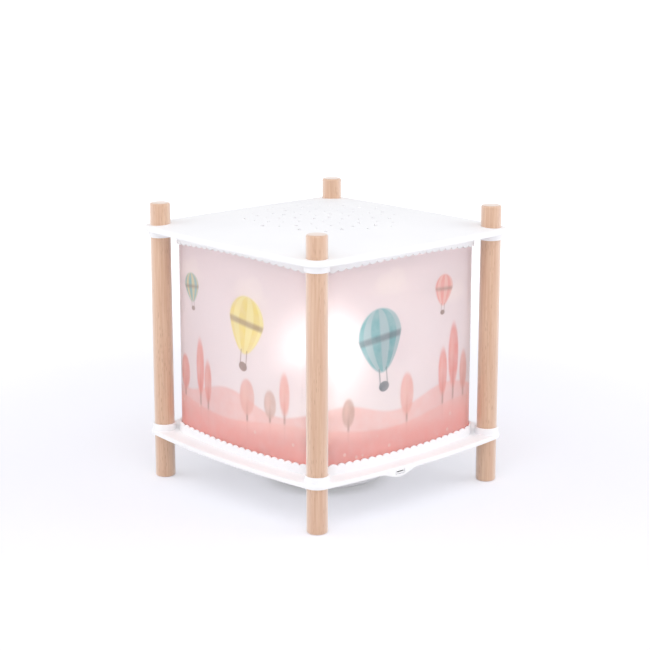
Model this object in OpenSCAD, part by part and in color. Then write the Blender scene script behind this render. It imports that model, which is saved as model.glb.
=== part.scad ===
// Lantern night light: a printed screen on four wooden posts, with a picture drum that turns round a
// lamp globe inside it. Millimetres, +Z up, origin on the floor under the middle of the lantern.

/* [Posts] */
// Diameter of the wooden posts
post_d = 12.7; // [9:0.1:14]
// Length of the posts, which stand on the floor
post_len = 176; // [168:1:200]
// Distance between neighbouring post axes
post_pitch = 144; // [142:1:156]
// Rounding of the post ends
post_round = 1.3; // [0.5:0.1:3]
// Gap between a post and the collars that grip it
post_fit = 0.1; // [0.05:0.05:0.3]
// Wall of the collars round the posts
collar_wall = 1; // [0.8:0.1:2.5]

/* [Roof] */
// Thickness of the roof's rim
roof_t = 3.5; // [2:0.5:5]
// Material round a post at the roof's corners
roof_lobe_wall = 3.15; // [2.5:0.05:6]
// How far the roof's sides swell beyond its corners
roof_bulge = 2.5; // [2:0.5:8]
// Length of the collars under the roof
roof_collar_h = 3.8; // [1:0.1:8]
// Rise of the roof's middle above its rim
dome_rise = 8; // [6:0.5:20]
// Thickness of the domed part
dome_wall = 2.2; // [1.5:0.1:2.6]

/* [Stars] */
// Number of star holes in the dome
star_count = 78; // [20:1:110]
// Radius of the field of stars
star_field_r = 50; // [30:1:62]
// Radius of the largest stars
star_r = 1.9; // [1:0.1:2.2]

/* [Base] */
// Height of the base plate's underside above the floor
base_z = 28; // [26:1:36]
// Thickness of the base plate
base_t = 3; // [2.5:0.5:5]
// Material round a post at the base's corners
base_lobe_wall = 1.85; // [1.85:0.05:5]
// How far the base's sides swell beyond its corners
base_bulge = 4.8; // [2:0.1:8]
// Length of the collars on the base
base_collar_h = 4; // [1:0.5:8]

/* [Screen] */
// Clear height between the base plate and the roof
window_h = 127.5; // [115:0.5:135]
// Distance of the screen's corner centres from the middle
screen_corner_at = 52; // [49:1:54]
// Radius of the screen's corners
screen_corner_r = 17; // [14:0.5:19]
// How far the screen's sides swell beyond its corners
screen_bulge = 3.1; // [2:0.1:5]
// Thickness of the screen's film
screen_t = 0.6; // [0.4:0.1:1.2]
// Gap beside the film in its grooves
screen_fit = 0.25; // [0.1:0.05:0.5]
// Gap above the film, so that the roof can be pushed home
screen_slack = 0.3; // [0.1:0.1:1]

/* [Scalloped lips] */
// Thickness of the lips and of the ribs behind the film
lip_t = 1.2; // [0.8:0.1:2]
// Height of the base's lip up to its valleys, in the middle of a side
base_lip_h = 3.9; // [2:0.1:6]
// How much higher the base's lip is at the corners
base_lip_arch = 1.3; // [0:0.1:4]
// Depth of the roof's lip down to its valleys, in the middle of a side
roof_lip_h = 3.5; // [1.5:0.1:6]
// How much deeper the roof's lip is at the corners
roof_lip_arch = 3.3; // [0:0.1:6]
// Pitch of the scallops, of which a whole number is fitted to each side
scallop_pitch = 5.7; // [4:0.1:10]
// Height of a scallop above its valleys
scallop_h = 1.4; // [1:0.1:2.4]
// Height of the ribs behind the film
rib_h = 2.4; // [1.5:0.1:5]

/* [Housing] */
// Outer radius of the round housing under the base
housing_r = 39; // [38:0.5:44]
// Height of the housing's floor above the ground
housing_z = 4; // [3:0.5:5]
// Wall of the housing
housing_wall = 2; // [1.5:0.1:2.5]
// Rounding of the housing's lower edge
housing_round = 4; // [2:0.5:4.5]
// Angle of the housing's screws from the X axis
housing_screw_angle = 37; // [36:1:39]

/* [Charging socket] */
// Distance of the socket from the middle of its side
socket_y = -17; // [-19:0.5:-15]
// Width of the swell in the rim at the socket
swell_w = 31; // [28:1:36]
// Depth of the swell below the base plate
swell_drop = 3.5; // [3.2:0.1:4]
// Thickness of the rim's wall at the swell
swell_wall = 2; // [1.5:0.1:2.5]
// Width of the socket's shell
socket_w = 7.5; // [7:0.1:8.5]
// Height of the socket's shell
socket_h = 2.4; // [2.3:0.1:2.8]
// Length of the socket's shell
socket_len = 5.6; // [5:0.1:7]
// Gap round the socket in the rim
socket_fit = 0.15; // [0.15:0.05:0.5]
// Thickness of the socket's board
socket_board_t = 0.8; // [0.6:0.1:1]
// Skin of the base plate left above the socket's board
socket_skin = 1.2; // [0.8:0.1:1.4]
// Wall of the channel cover behind the socket
channel_wall = 1; // [0.8:0.1:1.1]

/* [Lamp] */
// Outer radius of the column that carries the lamp
column_r = 10; // [9.6:0.1:10.6]
// Wall of the column
column_wall = 2.8; // [2.6:0.1:3.2]
// Height of the column above the base plate
column_h = 31; // [28:1:36]
// Radius of the column's foot
column_foot_r = 16; // [15:0.5:17]
// Thickness of the column's foot
column_foot_t = 2; // [1.5:0.1:3]
// Radius of the frosted globe
globe_r = 24; // [18:1:30]
// Height of the globe's centre above the base plate
globe_h = 55; // [52:1:62]
// Wall of the globe
globe_wall = 1.5; // [1:0.1:2]
// Gap between the globe's neck and the column
globe_fit = 0.1; // [0.05:0.05:0.3]
// Thickness of the lamp's round board
lamp_board_t = 1.2; // [0.8:0.1:2]

/* [Drum] */
// Inner radius of the drum's film
drum_r = 62; // [56:1:63]
// Thickness of the drum's film
drum_film_t = 0.4; // [0.3:0.1:0.8]
// Gap between the drum's top and the roof's rim
drum_top_gap = 9; // [8:0.5:20]
// Thickness of the turntable's disc
disc_t = 2; // [1.5:0.1:3]
// Length of the turntable's sleeve on the column
sleeve_len = 16; // [10:0.5:18]
// Wall of the turntable's sleeve
sleeve_wall = 3; // [2:0.1:4]
// Running gap between the sleeve and the column
sleeve_gap = 0.08; // [0.02:0.01:0.1]
// Thickness of the washer that the turntable runs on
washer_t = 1; // [0.5:0.1:2]
// Height of the rings that hold the film round
hoop_h = 4; // [3:0.5:6]
// Thickness of the rings that hold the film round
hoop_t = 1.4; // [1:0.1:2]

/* [Drive] */
// Teeth on the turntable
gear_teeth = 48; // [46:1:50]
// Teeth on the motor's pinion
pinion_teeth = 16; // [15:1:16]
// Module of the teeth
gear_module = 0.8; // [0.78:0.01:0.82]
// Width of the turntable's teeth
gear_face = 4.5; // [3:0.5:6]
// Play between the flanks
gear_backlash = 0.16; // [0.1:0.02:0.3]
// Diameter of the motor's shaft
shaft_d = 3; // [2:0.5:4]
// Running gap of the shaft in the gearbox
shaft_gap = 0.05; // [0.02:0.01:0.1]
// Radius of the gearbox
gearbox_r = 9.5; // [9:0.1:10]
// Height of the gearbox
gearbox_h = 9; // [7:0.5:10]
// Radius of the motor's can
motor_r = 8; // [6:0.5:9]
// Height of the motor's can
motor_h = 9; // [6:0.5:11]

/* [Battery and boards] */
// Diameter of the battery cell
battery_d = 14; // [12:0.5:14.5]
// Length of the battery cell
battery_len = 50; // [40:1:51]
// Distance of the cell from the middle
battery_y = -9; // [-9.5:0.1:-8]
// Length of the control board
board_len = 36; // [30:1:36]
// Width of the control board
board_w = 15; // [12:0.5:15]
// Thickness of the control board
board_t = 1.6; // [1:0.1:2]
// Height of the posts that carry the control board
board_post_h = 3; // [2:0.5:3]
// Diameter of the leads
lead_d = 1.6; // [1:0.1:1.8]

/* [Switch] */
// Height of the slide switch above the housing's floor
switch_h = 5; // [4.5:0.1:7]
// Travel of the knob to each side of its middle
switch_travel = 2; // [1:0.25:2.5]
// Width of the knob
knob_w = 4; // [3:0.5:5]
// Height of the knob
knob_h = 2.8; // [2:0.1:3]
// How far the knob stands out of the housing
knob_out = 1.4; // [1:0.1:2.5]
// Gap round the knob
knob_gap = 0.3; // [0.2:0.05:0.4]

/* [Fasteners] */
// Diameter of the housing's screws
screw_d = 2.4; // [2:0.1:2.6]
// Diameter of the small screws
small_screw_d = 1.7; // [1.4:0.1:1.8]
// Gap between a screw and its hole
screw_fit = 0.05; // [0.02:0.01:0.15]

/* [Hidden] */
$fn = 96;

white = "whitesmoke";
beech = "burlywood";
film = "mistyrose";
nylon = "gainsboro";
metal = "silver";
board_green = "seagreen";
black = "dimgray";

// Overlap that joins pieces of one moulding, and the reach of a cut past the face it leaves through
join = 0.5;

// Heights, from the floor up
base_top = base_z + base_t;
roof_z = base_top + window_h;
roof_top = roof_z + roof_t;
foot_top = base_top + column_foot_t;
washer_top = foot_top + washer_t;
thrust_gap = 0.1;
gear_z = washer_top + thrust_gap;
disc_z = gear_z + gear_face;
disc_top = disc_z + disc_t;
sleeve_top = gear_z + sleeve_len;
clip_play = 0.4;
clip_t = 1.2;
clip_z = sleeve_top + clip_play;
clip_top = clip_z + clip_t;
column_top = base_top + column_h;
globe_z = base_top + globe_h;
drum_top = roof_z - drum_top_gap;

// Plan of the posts
post_r = post_d / 2;
post_at = post_pitch / 2;
post_hole_r = post_r + post_fit;
collar_r = post_hole_r + collar_wall;

// Middle of a side, measured from the lantern's axis
roof_lobe_r = post_r + roof_lobe_wall;
base_lobe_r = post_r + base_lobe_wall;
roof_half = post_at + roof_lobe_r + roof_bulge;
screen_half = screen_corner_at + screen_corner_r + screen_bulge;

// Housing
housing_inner_r = housing_r - housing_wall;
housing_floor = housing_z + housing_wall;
housing_boss_r = 3;
housing_boss_gap = 1;
housing_boss_at = housing_inner_r - housing_boss_r - housing_boss_gap;
housing_screw_angles = [for (s = [0, 180]) each [s + housing_screw_angle, s - housing_screw_angle]];
screw_r = screw_d / 2;
screw_head_r = 2.1;
screw_head_h = 1.5;
screw_head_fit = 0.2;
// The screw's head sits this far below the base plate, at the bottom of a deep hole in its boss
screw_head_depth = 8;
screw_bite = 6;
small_screw_r = small_screw_d / 2;
small_head_r = 1.7;
small_head_h = 1.2;
small_bite = 2.2;
boss_wall = 1.4;
boss_r = screw_r + boss_wall;
boss_rise = 4;
boss_top = base_top + boss_rise;

// Charging socket and the channel behind it
socket_board_z = base_top - socket_skin - socket_board_t;
socket_z = socket_board_z - socket_h;
socket_board_w = 14;
socket_board_len = 21;
socket_set_in = 0.2;
base_half = post_at + base_lobe_r + base_bulge;
base_side_r = side_arc_r(post_at, base_lobe_r, base_bulge);
rim_x = base_half - base_side_r + sqrt(base_side_r * base_side_r - socket_y * socket_y);
socket_front = rim_x - socket_set_in;
socket_board_gap = 1.2;
socket_board_end = rim_x - swell_wall - socket_board_gap;
channel_screw_out = 9;
channel_screw_x = housing_r + channel_screw_out;
channel_rib_in = 2;
channel_rib_x = socket_board_end - socket_board_len + channel_rib_in;
channel_rib_t = 1.5;
channel_rib_gap = 4;
// Where the charging lead crosses the housing's wall
channel_notch_out = 3.5;
channel_notch_y = socket_y + channel_notch_out;

// Drive
pitch_gear_r = gear_module * gear_teeth / 2;
pitch_pinion_r = gear_module * pinion_teeth / 2;
motor_at = pitch_gear_r + pitch_pinion_r;
motor_angle = 90;
pressure_angle = 20;
gearbox_z = base_z - gearbox_h;
motor_z = gearbox_z - motor_h;
shaft_r = shaft_d / 2;
shaft_in = 6;
gearbox_boss_wall = 2;
gearbox_boss_r = shaft_r + gearbox_boss_wall;
gearbox_boss_h = 2.5;
gearbox_ear_out = 3.5;
gearbox_ear_at = gearbox_r + gearbox_ear_out;
gearbox_ear_r = 2.6;
gearbox_ear_t = 1.5;
// Gap between the motor and the housing's wall: both have a flank of the wall's curve where it is close
motor_wall_gap = 0.8;
pinion_fit = 0.025;
pinion_gap = 0.4;
pinion_top = disc_z - pinion_gap;
pinion_z = gear_z - pinion_gap;

// Column and lamp
column_bore_r = column_r - column_wall;
column_screw_at = (column_r + column_bore_r) / 2;
column_screw_bite = 8;
clip_groove = 0.6;
clip_fit = 0.05;
clip_reach = 2.4;
// Half width of the clip's mouth, as a share of its inner radius
clip_mouth = 0.6;
lamp_board_inset = 0.5;
lamp_board_r = column_r - lamp_board_inset;
led_size = 2.8;
led_h = 0.8;
led_count = 6;
led_ring_r = 5.5;
lead_hole_r = 6;
disc_rim = 1;
disc_hole_r = 9;
disc_hole_count = 6;
drum_fit = 0.1;

// Battery and control board
battery_r = battery_d / 2;
battery_fit = 0.15;
saddle_t = 2;
saddle_at = 15;
saddle_rise = 1;
battery_z = housing_floor + saddle_rise + battery_r;
board_z = base_z - board_post_h - board_t;
board_corner_gap = 2;
board_out_r = housing_inner_r - board_corner_gap;
board_y = -sqrt(board_out_r * board_out_r - board_len * board_len / 4);
board_post_r = 2.2;
board_post_in = 4;
lead_r = lead_d / 2;
// Reach of a lead's bend to each side of its corner
lead_bend = 2.4;
// Most of a short run that one bend takes up
lead_bend_share = 0.4;
lead_bend_steps = 4;
lead_sides = 8;
lead_z = base_z - board_post_h + lead_r;
lead_gap = 0.2;
lead_high_z = base_z - lead_r - lead_gap;
// Distance of a soldered end, or of a bend, from the edge it comes over
lead_edge = 5;
pad_in = 2;
// Free width beside the charging lead in its notch
lead_room = 1.5;

// Slide switch
switch_z = housing_floor + switch_h;
switch_slot_w = knob_w + 2 * (switch_travel + knob_gap);
switch_slot_h = knob_h + 2 * knob_gap;
switch_end_wall = 2;
switch_side_wall = 1.1;
switch_body_w = switch_slot_w + 2 * switch_end_wall;
switch_body_h = switch_slot_h + 2 * switch_side_wall;
switch_body_t = 5.5;
switch_fit = 0.2;
switch_front = sqrt(housing_inner_r * housing_inner_r - switch_body_w * switch_body_w / 4) - switch_fit;
switch_groove = 1.8;
switch_seat_t = 4.5;
knob_pad_t = 1.1;
knob_pad_over = 1;
knob_pad_w = knob_w + 2 * knob_pad_over;

// Radius of the arc along a side that runs tangent into round corners
function side_arc_r(corner_at, corner_r, bulge) =
    (corner_at * corner_at + pow(corner_r + bulge, 2) - corner_r * corner_r) / (2 * bulge);

// Outline of a square with round corners and swelling sides, grown or shrunk evenly
side_steps = 12;
corner_steps = 8;
function soft_square(corner_at, corner_r, bulge, grow = 0) =
    let (
        r = corner_r + grow,
        arc = side_arc_r(corner_at, corner_r, bulge) + grow,
        centre = corner_at + r + bulge - arc,
        turn = asin(corner_at / (arc - r))
    )
    [
        for (quarter = [0 : 90 : 270]) each [
            for (i = [0 : side_steps - 1])
                let (a = turn * (2 * i / side_steps - 1))
                turned([centre + arc * cos(a), arc * sin(a)], quarter),
            for (i = [0 : corner_steps - 1])
                let (a = turn + (90 - 2 * turn) * i / corner_steps)
                turned([corner_at + r * cos(a), corner_at + r * sin(a)], quarter)
        ]
    ];
function turned(p, a) = [p.x * cos(a) - p.y * sin(a), p.x * sin(a) + p.y * cos(a)];
function polar(r, a) = [r * cos(a), r * sin(a)];

function screen_outline(grow) = soft_square(screen_corner_at, screen_corner_r, screen_bulge, grow);
function base_outline(grow) = soft_square(post_at, base_lobe_r, base_bulge, grow);
function roof_outline() = soft_square(post_at, roof_lobe_r, roof_bulge);

module wall_between(outer, inner, h) {
    linear_extrude(h)
        difference() {
            polygon(outer);
            polygon(inner);
        }
}

module at_posts() {
    for (x = [-post_at, post_at], y = [-post_at, post_at])
        translate([x, y, 0])
            children();
}

module ring(outer_r, inner_r, h) {
    difference() {
        cylinder(r = outer_r, h = h);
        translate([0, 0, -join])
            cylinder(r = inner_r, h = h + 2 * join);
    }
}

// A screw that points up, with its head's underside at the origin's height
module screw(head_r, head_h, shank_r, len) {
    translate([0, 0, -head_h])
        cylinder(r = head_r, h = head_h, $fn = 32);
    translate([0, 0, -join])
        cylinder(r = shank_r, h = len + join, $fn = 32);
}

// A lead's route with a bend in place of each corner
function unit(v) = v / norm(v);
function bend(before, corner, after) =
    let (
        shorter = min(norm(corner - before), norm(after - corner)),
        reach = min(lead_bend, shorter * lead_bend_share),
        back = reach * unit(before - corner),
        on = reach * unit(after - corner)
    )
    [
        for (i = [0 : lead_bend_steps])
            let (t = i / lead_bend_steps)
            corner + back * pow(1 - t, 2) + on * pow(t, 2)
    ];
function route(points) = [
    points[0],
    for (i = [1 : len(points) - 2]) each bend(points[i - 1], points[i], points[i + 1]),
    points[len(points) - 1]
];

// Rings of points along a route: each is the one before it, slid along the run to the next mitre
function rings(p, i) =
    i == 0
        ? let (
            along = unit(p[1] - p[0]),
            side = unit(cross(along, abs(along.z) < 0.5 ? [0, 0, 1] : [1, 0, 0])),
            up = cross(side, along)
        )
        [[
            for (k = [0 : lead_sides - 1])
                let (a = 360 * k / lead_sides)
                p[0] + lead_r * (side * cos(a) + up * sin(a))
        ]]
        : let (
            done = rings(p, i - 1),
            along = unit(p[i] - p[i - 1]),
            mitre = i == len(p) - 1 ? along : unit(along + unit(p[i + 1] - p[i]))
        )
        concat(done, [[for (q = done[i - 1]) q + along * ((p[i] - q) * mitre) / (along * mitre)]]);

// A lead along straight runs with bends between them
module lead(points) {
    path = route(points);
    last = len(path) - 1;
    polyhedron(
        [for (r = rings(path, last)) each r],
        [
            [for (k = [0 : lead_sides - 1]) k],
            for (i = [0 : last - 1], k = [0 : lead_sides - 1])
                let (next = (k + 1) % lead_sides)
                [i, i, i + 1, i + 1] * lead_sides + [next, k, k, next],
            [for (k = [lead_sides - 1 : -1 : 0]) last * lead_sides + k]
        ]
    );
}

// Upright lip round the screen: its upper edge rises towards the corners and has a row of round scallops
module scalloped_lip(valley_h, arch) {
    grow = screen_fit + lip_t;
    reach = screen_half + grow + join;
    corner = screen_corner_at + (screen_corner_r + grow) * cos(45);
    bumps = round(corner / scallop_pitch - 0.5);
    pitch = corner / (bumps + 0.5);
    bump_r = (pitch * pitch / 4 + scallop_h * scallop_h) / (2 * scallop_h);
    // Places of the scallops and the height of the valleys beside them
    edge = [for (i = [-bumps - 1 : bumps + 1]) [i * pitch, valley_h + arch * pow(i * pitch / corner, 2)]];
    last = len(edge) - 1;
    for (quarter = [0 : 90 : 270])
        rotate(quarter)
            intersection() {
                linear_extrude(edge[0].y + scallop_h + join)
                    intersection() {
                        difference() {
                            polygon(screen_outline(grow));
                            polygon(screen_outline(screen_fit));
                        }
                        polygon([[0, 0], [reach, -reach], [reach, reach]]);
                    }
                rotate([90, 0, 90])
                    linear_extrude(reach)
                        union() {
                            polygon([[edge[0].x, 0], each edge, [edge[last].x, 0]]);
                            for (p = edge)
                                translate([p.x, p.y + scallop_h - bump_r])
                                    circle(bump_r, $fn = 48);
                        }
            }
}

// Rib behind the film, which keeps it against the lip
module film_rib() {
    wall_between(
        screen_outline(-screen_t - screen_fit),
        screen_outline(-screen_t - screen_fit - lip_t),
        rib_h
    );
}

module post(side_x, side_y) {
    color(beech)
        translate([side_x * post_at, side_y * post_at, 0])
            rotate_extrude()
                intersection() {
                    square([post_r, post_len]);
                    union() {
                        translate([0, post_round])
                            square([post_r, post_len - 2 * post_round]);
                        square([post_r - post_round, post_len]);
                        for (z = [post_round, post_len - post_round])
                            translate([post_r - post_round, z])
                                circle(post_round, $fn = 48);
                    }
                }
}

// The roof's upper face: a pillow that is level along its rim and falls away faster towards the sides
dome_steps = 20;
function pillow(x, y) = dome_rise * (1 - pow(x / roof_half, 2)) * (1 - pow(y / roof_half, 2));

// Block under the pillow, a little wider than the roof
module pillow_block() {
    half = roof_half + join;
    row = dome_steps + 1;
    bottom = row * row;
    function at(i) = half * (2 * i / dome_steps - 1);
    points = [
        for (j = [0 : dome_steps], i = [0 : dome_steps])
            [at(i), at(j), roof_top + pillow(at(i), at(j))],
        for (x = [-half, half], y = [-half, half]) [x, y, roof_z - roof_t]
    ];
    faces = [
        for (j = [0 : dome_steps - 1], i = [0 : dome_steps - 1])
            let (k = j * row + i)
            each [[k, k + row, k + 1], [k + 1, k + row, k + row + 1]],
        [for (i = [0 : dome_steps]) i, bottom + 2, bottom],
        [for (i = [dome_steps : -1 : 0]) dome_steps * row + i, bottom + 1, bottom + 3],
        [for (j = [dome_steps : -1 : 0]) j * row, bottom, bottom + 1],
        [for (j = [0 : dome_steps]) j * row + dome_steps, bottom + 3, bottom + 2],
        [bottom, bottom + 2, bottom + 3, bottom + 1]
    ];
    polyhedron(points, faces);
}

// Places of the stars: a spiral that spreads them evenly, in sizes and turns that follow no row
golden_angle = 137.508;
star_sizes = [1, 0.5, 0.62, 0.72, 0.8];
star_turn = 29;
star_tips = 5;
star_inner = 0.45;
function star_points(r) =
    [for (i = [0 : 2 * star_tips - 1]) polar(i % 2 == 0 ? r : r * star_inner, i * 180 / star_tips)];

module stars() {
    for (i = [0 : star_count - 1])
        rotate(i * golden_angle)
            translate([star_field_r * sqrt((i + 0.5) / star_count), 0, roof_z])
                rotate(i * star_turn)
                    linear_extrude(roof_t + dome_rise + join)
                        polygon(star_points(star_r * star_sizes[i % len(star_sizes)]));
}

module roof_shell() {
    color(white)
        difference() {
            union() {
                intersection() {
                    pillow_block();
                    translate([0, 0, roof_z])
                        linear_extrude(roof_t + dome_rise + join)
                            polygon(roof_outline());
                }
                at_posts()
                    translate([0, 0, roof_z - roof_collar_h])
                        cylinder(r = collar_r, h = roof_collar_h + join);
                translate([0, 0, roof_z])
                    mirror([0, 0, 1])
                        scalloped_lip(roof_lip_h, roof_lip_arch);
                translate([0, 0, roof_z - rib_h])
                    film_rib();
            }
            // Hollow under the dome
            intersection() {
                translate([0, 0, -dome_wall])
                    pillow_block();
                translate([0, 0, roof_z - join])
                    linear_extrude(roof_t + dome_rise)
                        polygon(screen_outline(-screen_t - screen_fit - lip_t));
            }
            stars();
            at_posts()
                translate([0, 0, roof_z - roof_collar_h - join])
                    cylinder(r = post_hole_r, h = roof_collar_h + roof_t + dome_rise);
        }
}

// Profile of the swell: a smooth bump that hangs below the base plate
swell_steps = 24;
function swell(half_w, drop) = [
    for (i = [0 : swell_steps])
        let (y = half_w * (2 * i / swell_steps - 1))
        [y, -swell_depth(half_w, drop, y)]
];

function swell_depth(half_w, drop, y) = drop * (0.5 + 0.5 * cos(180 * y / half_w));

// The swell's profile along X, hanging from the base plate's underside
module swell_bar(half_w, drop, x0, x1) {
    translate([x0, socket_y, base_z])
        rotate([90, 0, 90])
            linear_extrude(x1 - x0)
                polygon(swell(half_w, drop));
}

module at_housing_screws() {
    for (a = housing_screw_angles)
        rotate(a)
            translate([housing_boss_at, 0, 0])
                children();
}

module at_column_screws() {
    for (a = [90, 210, 330])
        rotate(a)
            translate([column_screw_at, 0, 0])
                children();
}

module at_motor() {
    rotate(motor_angle)
        translate([motor_at, 0, 0])
            children();
}

module at_motor_ears() {
    at_motor()
        for (side = [-1, 1])
            translate([0, side * gearbox_ear_at, 0])
                children();
}

module at_board_posts() {
    for (side = [-1, 1])
        translate([side * (board_len / 2 - board_post_in), board_y + board_w - board_post_in, 0])
            children();
}

module base_plate() {
    color(white)
        difference() {
            union() {
                translate([0, 0, base_z])
                    linear_extrude(base_t)
                        polygon(base_outline(0));
                at_posts()
                    translate([0, 0, base_top - join])
                        cylinder(r = collar_r, h = base_collar_h + join);
                translate([0, 0, base_top])
                    scalloped_lip(base_lip_h, base_lip_arch);
                translate([0, 0, base_top])
                    film_rib();
                // Swell in the rim that makes room for the charging socket
                intersection() {
                    translate([0, 0, base_z - swell_drop - join])
                        wall_between(base_outline(0), base_outline(-swell_wall), swell_drop + join);
                    swell_bar(swell_w / 2, swell_drop, post_at, base_half);
                }
                // Bosses for the housing's screws and for the channel's screw
                at_housing_screws()
                    translate([0, 0, base_top - join])
                        cylinder(r = boss_r, h = boss_top - base_top + join, $fn = 48);
                translate([channel_screw_x, socket_y, base_top - join])
                    cylinder(r = boss_r, h = boss_top - base_top + join, $fn = 48);
                // Posts that carry the control board
                at_board_posts()
                    translate([0, 0, base_z - board_post_h])
                        cylinder(r = board_post_r, h = board_post_h + join, $fn = 48);
            }
            at_posts()
                translate([0, 0, base_z - join])
                    cylinder(r = post_hole_r, h = base_t + base_collar_h + 2 * join);
            // Pilot holes
            at_housing_screws()
                translate([0, 0, base_z - join])
                    cylinder(r = screw_r + screw_fit, h = screw_bite + 2 * join, $fn = 48);
            translate([channel_screw_x, socket_y, base_z - join])
                cylinder(r = screw_r + screw_fit, h = screw_bite + 2 * join, $fn = 48);
            at_motor_ears()
                translate([0, 0, base_z - join])
                    cylinder(r = small_screw_r + screw_fit, h = small_bite + 2 * join, $fn = 48);
            at_board_posts()
                translate([0, 0, base_z - board_post_h - join])
                    cylinder(r = small_screw_r + screw_fit, h = small_bite + 2 * join, $fn = 48);
            at_column_screws()
                translate([0, 0, base_z - join])
                    cylinder(r = small_screw_r + screw_fit, h = base_t + 2 * join, $fn = 48);
            // Hole for the lamp's lead, and seat of the gearbox's boss
            translate([0, 0, base_z - join])
                cylinder(r = lead_hole_r, h = base_t + 2 * join);
            at_motor()
                translate([0, 0, base_z - join])
                    cylinder(r = gearbox_boss_r + socket_fit, h = base_t + 2 * join);
            // Pocket for the socket's board, and the slot in the rim
            translate([socket_board_end - socket_board_len - socket_fit, socket_y, base_z - join])
                translate([0, -socket_board_w / 2 - socket_fit, 0])
                    cube([
                        socket_board_len + 2 * socket_fit,
                        socket_board_w + 2 * socket_fit,
                        base_t - socket_skin + join
                    ]);
            translate([socket_board_end - join, socket_y, socket_z - socket_fit])
                translate([0, -socket_w / 2 - socket_fit, 0])
                    cube([rim_x, socket_w + 2 * socket_fit, socket_h + 2 * socket_fit]);
        }
}

module outer_screen() {
    color(film)
        translate([0, 0, base_top])
            wall_between(screen_outline(0), screen_outline(-screen_t), window_h - screen_slack);
}

module light_column() {
    color(nylon)
        difference() {
            union() {
                translate([0, 0, base_top])
                    cylinder(r = column_foot_r, h = column_foot_t);
                translate([0, 0, base_top])
                    cylinder(r = column_r, h = column_h);
            }
            translate([0, 0, base_top - join])
                cylinder(r = column_bore_r, h = column_h + 2 * join);
            translate([0, 0, clip_z - clip_fit])
                ring(column_r + join, column_r - clip_groove, clip_t + 2 * clip_fit);
            at_column_screws()
                translate([0, 0, base_top - join])
                    cylinder(r = small_screw_r + screw_fit, h = column_screw_bite + 2 * join, $fn = 48);
        }
}

module column_screws() {
    color(metal)
        at_column_screws()
            translate([0, 0, base_z])
                screw(small_head_r, small_head_h, small_screw_r, base_t + column_screw_bite);
}

module thrust_washer() {
    color(nylon)
        translate([0, 0, foot_top])
            ring(column_foot_r - join, column_r + 2 * sleeve_gap, washer_t);
}

// Flanks are involutes, thinned by the play between the gears
dedendum = 1.25;
function involute(r, base_r) =
    let (a = acos(min(1, base_r / r)))
    tan(a) * 180 / PI - a;
flank_steps = 3;
function gear_outline(teeth) =
    let (
        pitch_r = gear_module * teeth / 2,
        base_r = pitch_r * cos(pressure_angle),
        tip_r = pitch_r + gear_module,
        root_r = pitch_r - dedendum * gear_module,
        start_r = max(base_r, root_r),
        half_tooth = 90 / teeth - gear_backlash / 4 / pitch_r * 180 / PI + involute(pitch_r, base_r),
        flank = [for (k = [0 : flank_steps]) start_r + (tip_r - start_r) * k / flank_steps]
    )
    [
        for (t = [0 : teeth - 1])
            let (mid = 360 * t / teeth)
            each [
                if (root_r < base_r) polar(root_r, mid - half_tooth),
                for (r = flank) polar(r, mid - half_tooth + involute(r, base_r)),
                for (k = [flank_steps : -1 : 0])
                    polar(flank[k], mid + half_tooth - involute(flank[k], base_r)),
                if (root_r < base_r) polar(root_r, mid + half_tooth)
            ]
    ];

module turntable() {
    sleeve_r = column_r + sleeve_gap;
    disc_r = drum_r + drum_film_t + disc_rim;
    hole_at = (pitch_gear_r + drum_r) / 2;
    color(nylon)
        difference() {
            union() {
                translate([0, 0, gear_z])
                    rotate(motor_angle)
                        linear_extrude(gear_face)
                            polygon(gear_outline(gear_teeth));
                translate([0, 0, disc_z])
                    cylinder(r = disc_r, h = disc_t);
                translate([0, 0, disc_top - join])
                    cylinder(r = sleeve_r + sleeve_wall, h = sleeve_top - disc_top + join);
                translate([0, 0, disc_top - join])
                    ring(drum_r - drum_fit, drum_r - drum_fit - hoop_t, hoop_h + join);
            }
            translate([0, 0, gear_z - join])
                cylinder(r = sleeve_r, h = sleeve_len + 2 * join);
            for (i = [0 : disc_hole_count - 1])
                rotate(360 * i / disc_hole_count)
                    translate([hole_at, 0, disc_z - join])
                        cylinder(r = disc_hole_r, h = disc_t + 2 * join);
        }
}

module turntable_clip() {
    inner_r = column_r - clip_groove + clip_fit;
    color(metal)
        translate([0, 0, clip_z])
            difference() {
                ring(column_r + clip_reach, inner_r, clip_t);
                // Mouth that lets the clip spring into its groove
                translate([0, -inner_r * clip_mouth, -join])
                    cube([2 * column_r, 2 * inner_r * clip_mouth, clip_t + 2 * join]);
            }
}

module drum_film() {
    color(film)
        translate([0, 0, disc_top])
            ring(drum_r + drum_film_t, drum_r, drum_top - disc_top);
}

module drum_hoop() {
    color(white)
        translate([0, 0, drum_top - hoop_h])
            ring(drum_r - drum_fit, drum_r - drum_fit - hoop_t, hoop_h);
}

module led_board() {
    color(white)
        translate([0, 0, column_top])
            cylinder(r = lamp_board_r, h = lamp_board_t);
}

module leds() {
    color("lightyellow")
        for (i = [0 : led_count - 1])
            rotate(360 * i / led_count)
                translate([led_ring_r, 0, column_top + lamp_board_t + led_h / 2])
                    cube([led_size, led_size, led_h], center = true);
}

module lamp_globe() {
    neck_r = column_r + globe_fit;
    color("white")
        difference() {
            union() {
                translate([0, 0, globe_z])
                    sphere(globe_r);
                translate([0, 0, clip_top])
                    cylinder(r = neck_r + globe_wall, h = globe_z - clip_top);
            }
            translate([0, 0, globe_z])
                sphere(globe_r - globe_wall);
            translate([0, 0, clip_top - join])
                cylinder(r = neck_r, h = globe_z - clip_top);
        }
}

module clear_of_wall() {
    intersection() {
        children();
        cylinder(r = housing_inner_r - motor_wall_gap, h = base_z, $fn = 180);
    }
}

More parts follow.
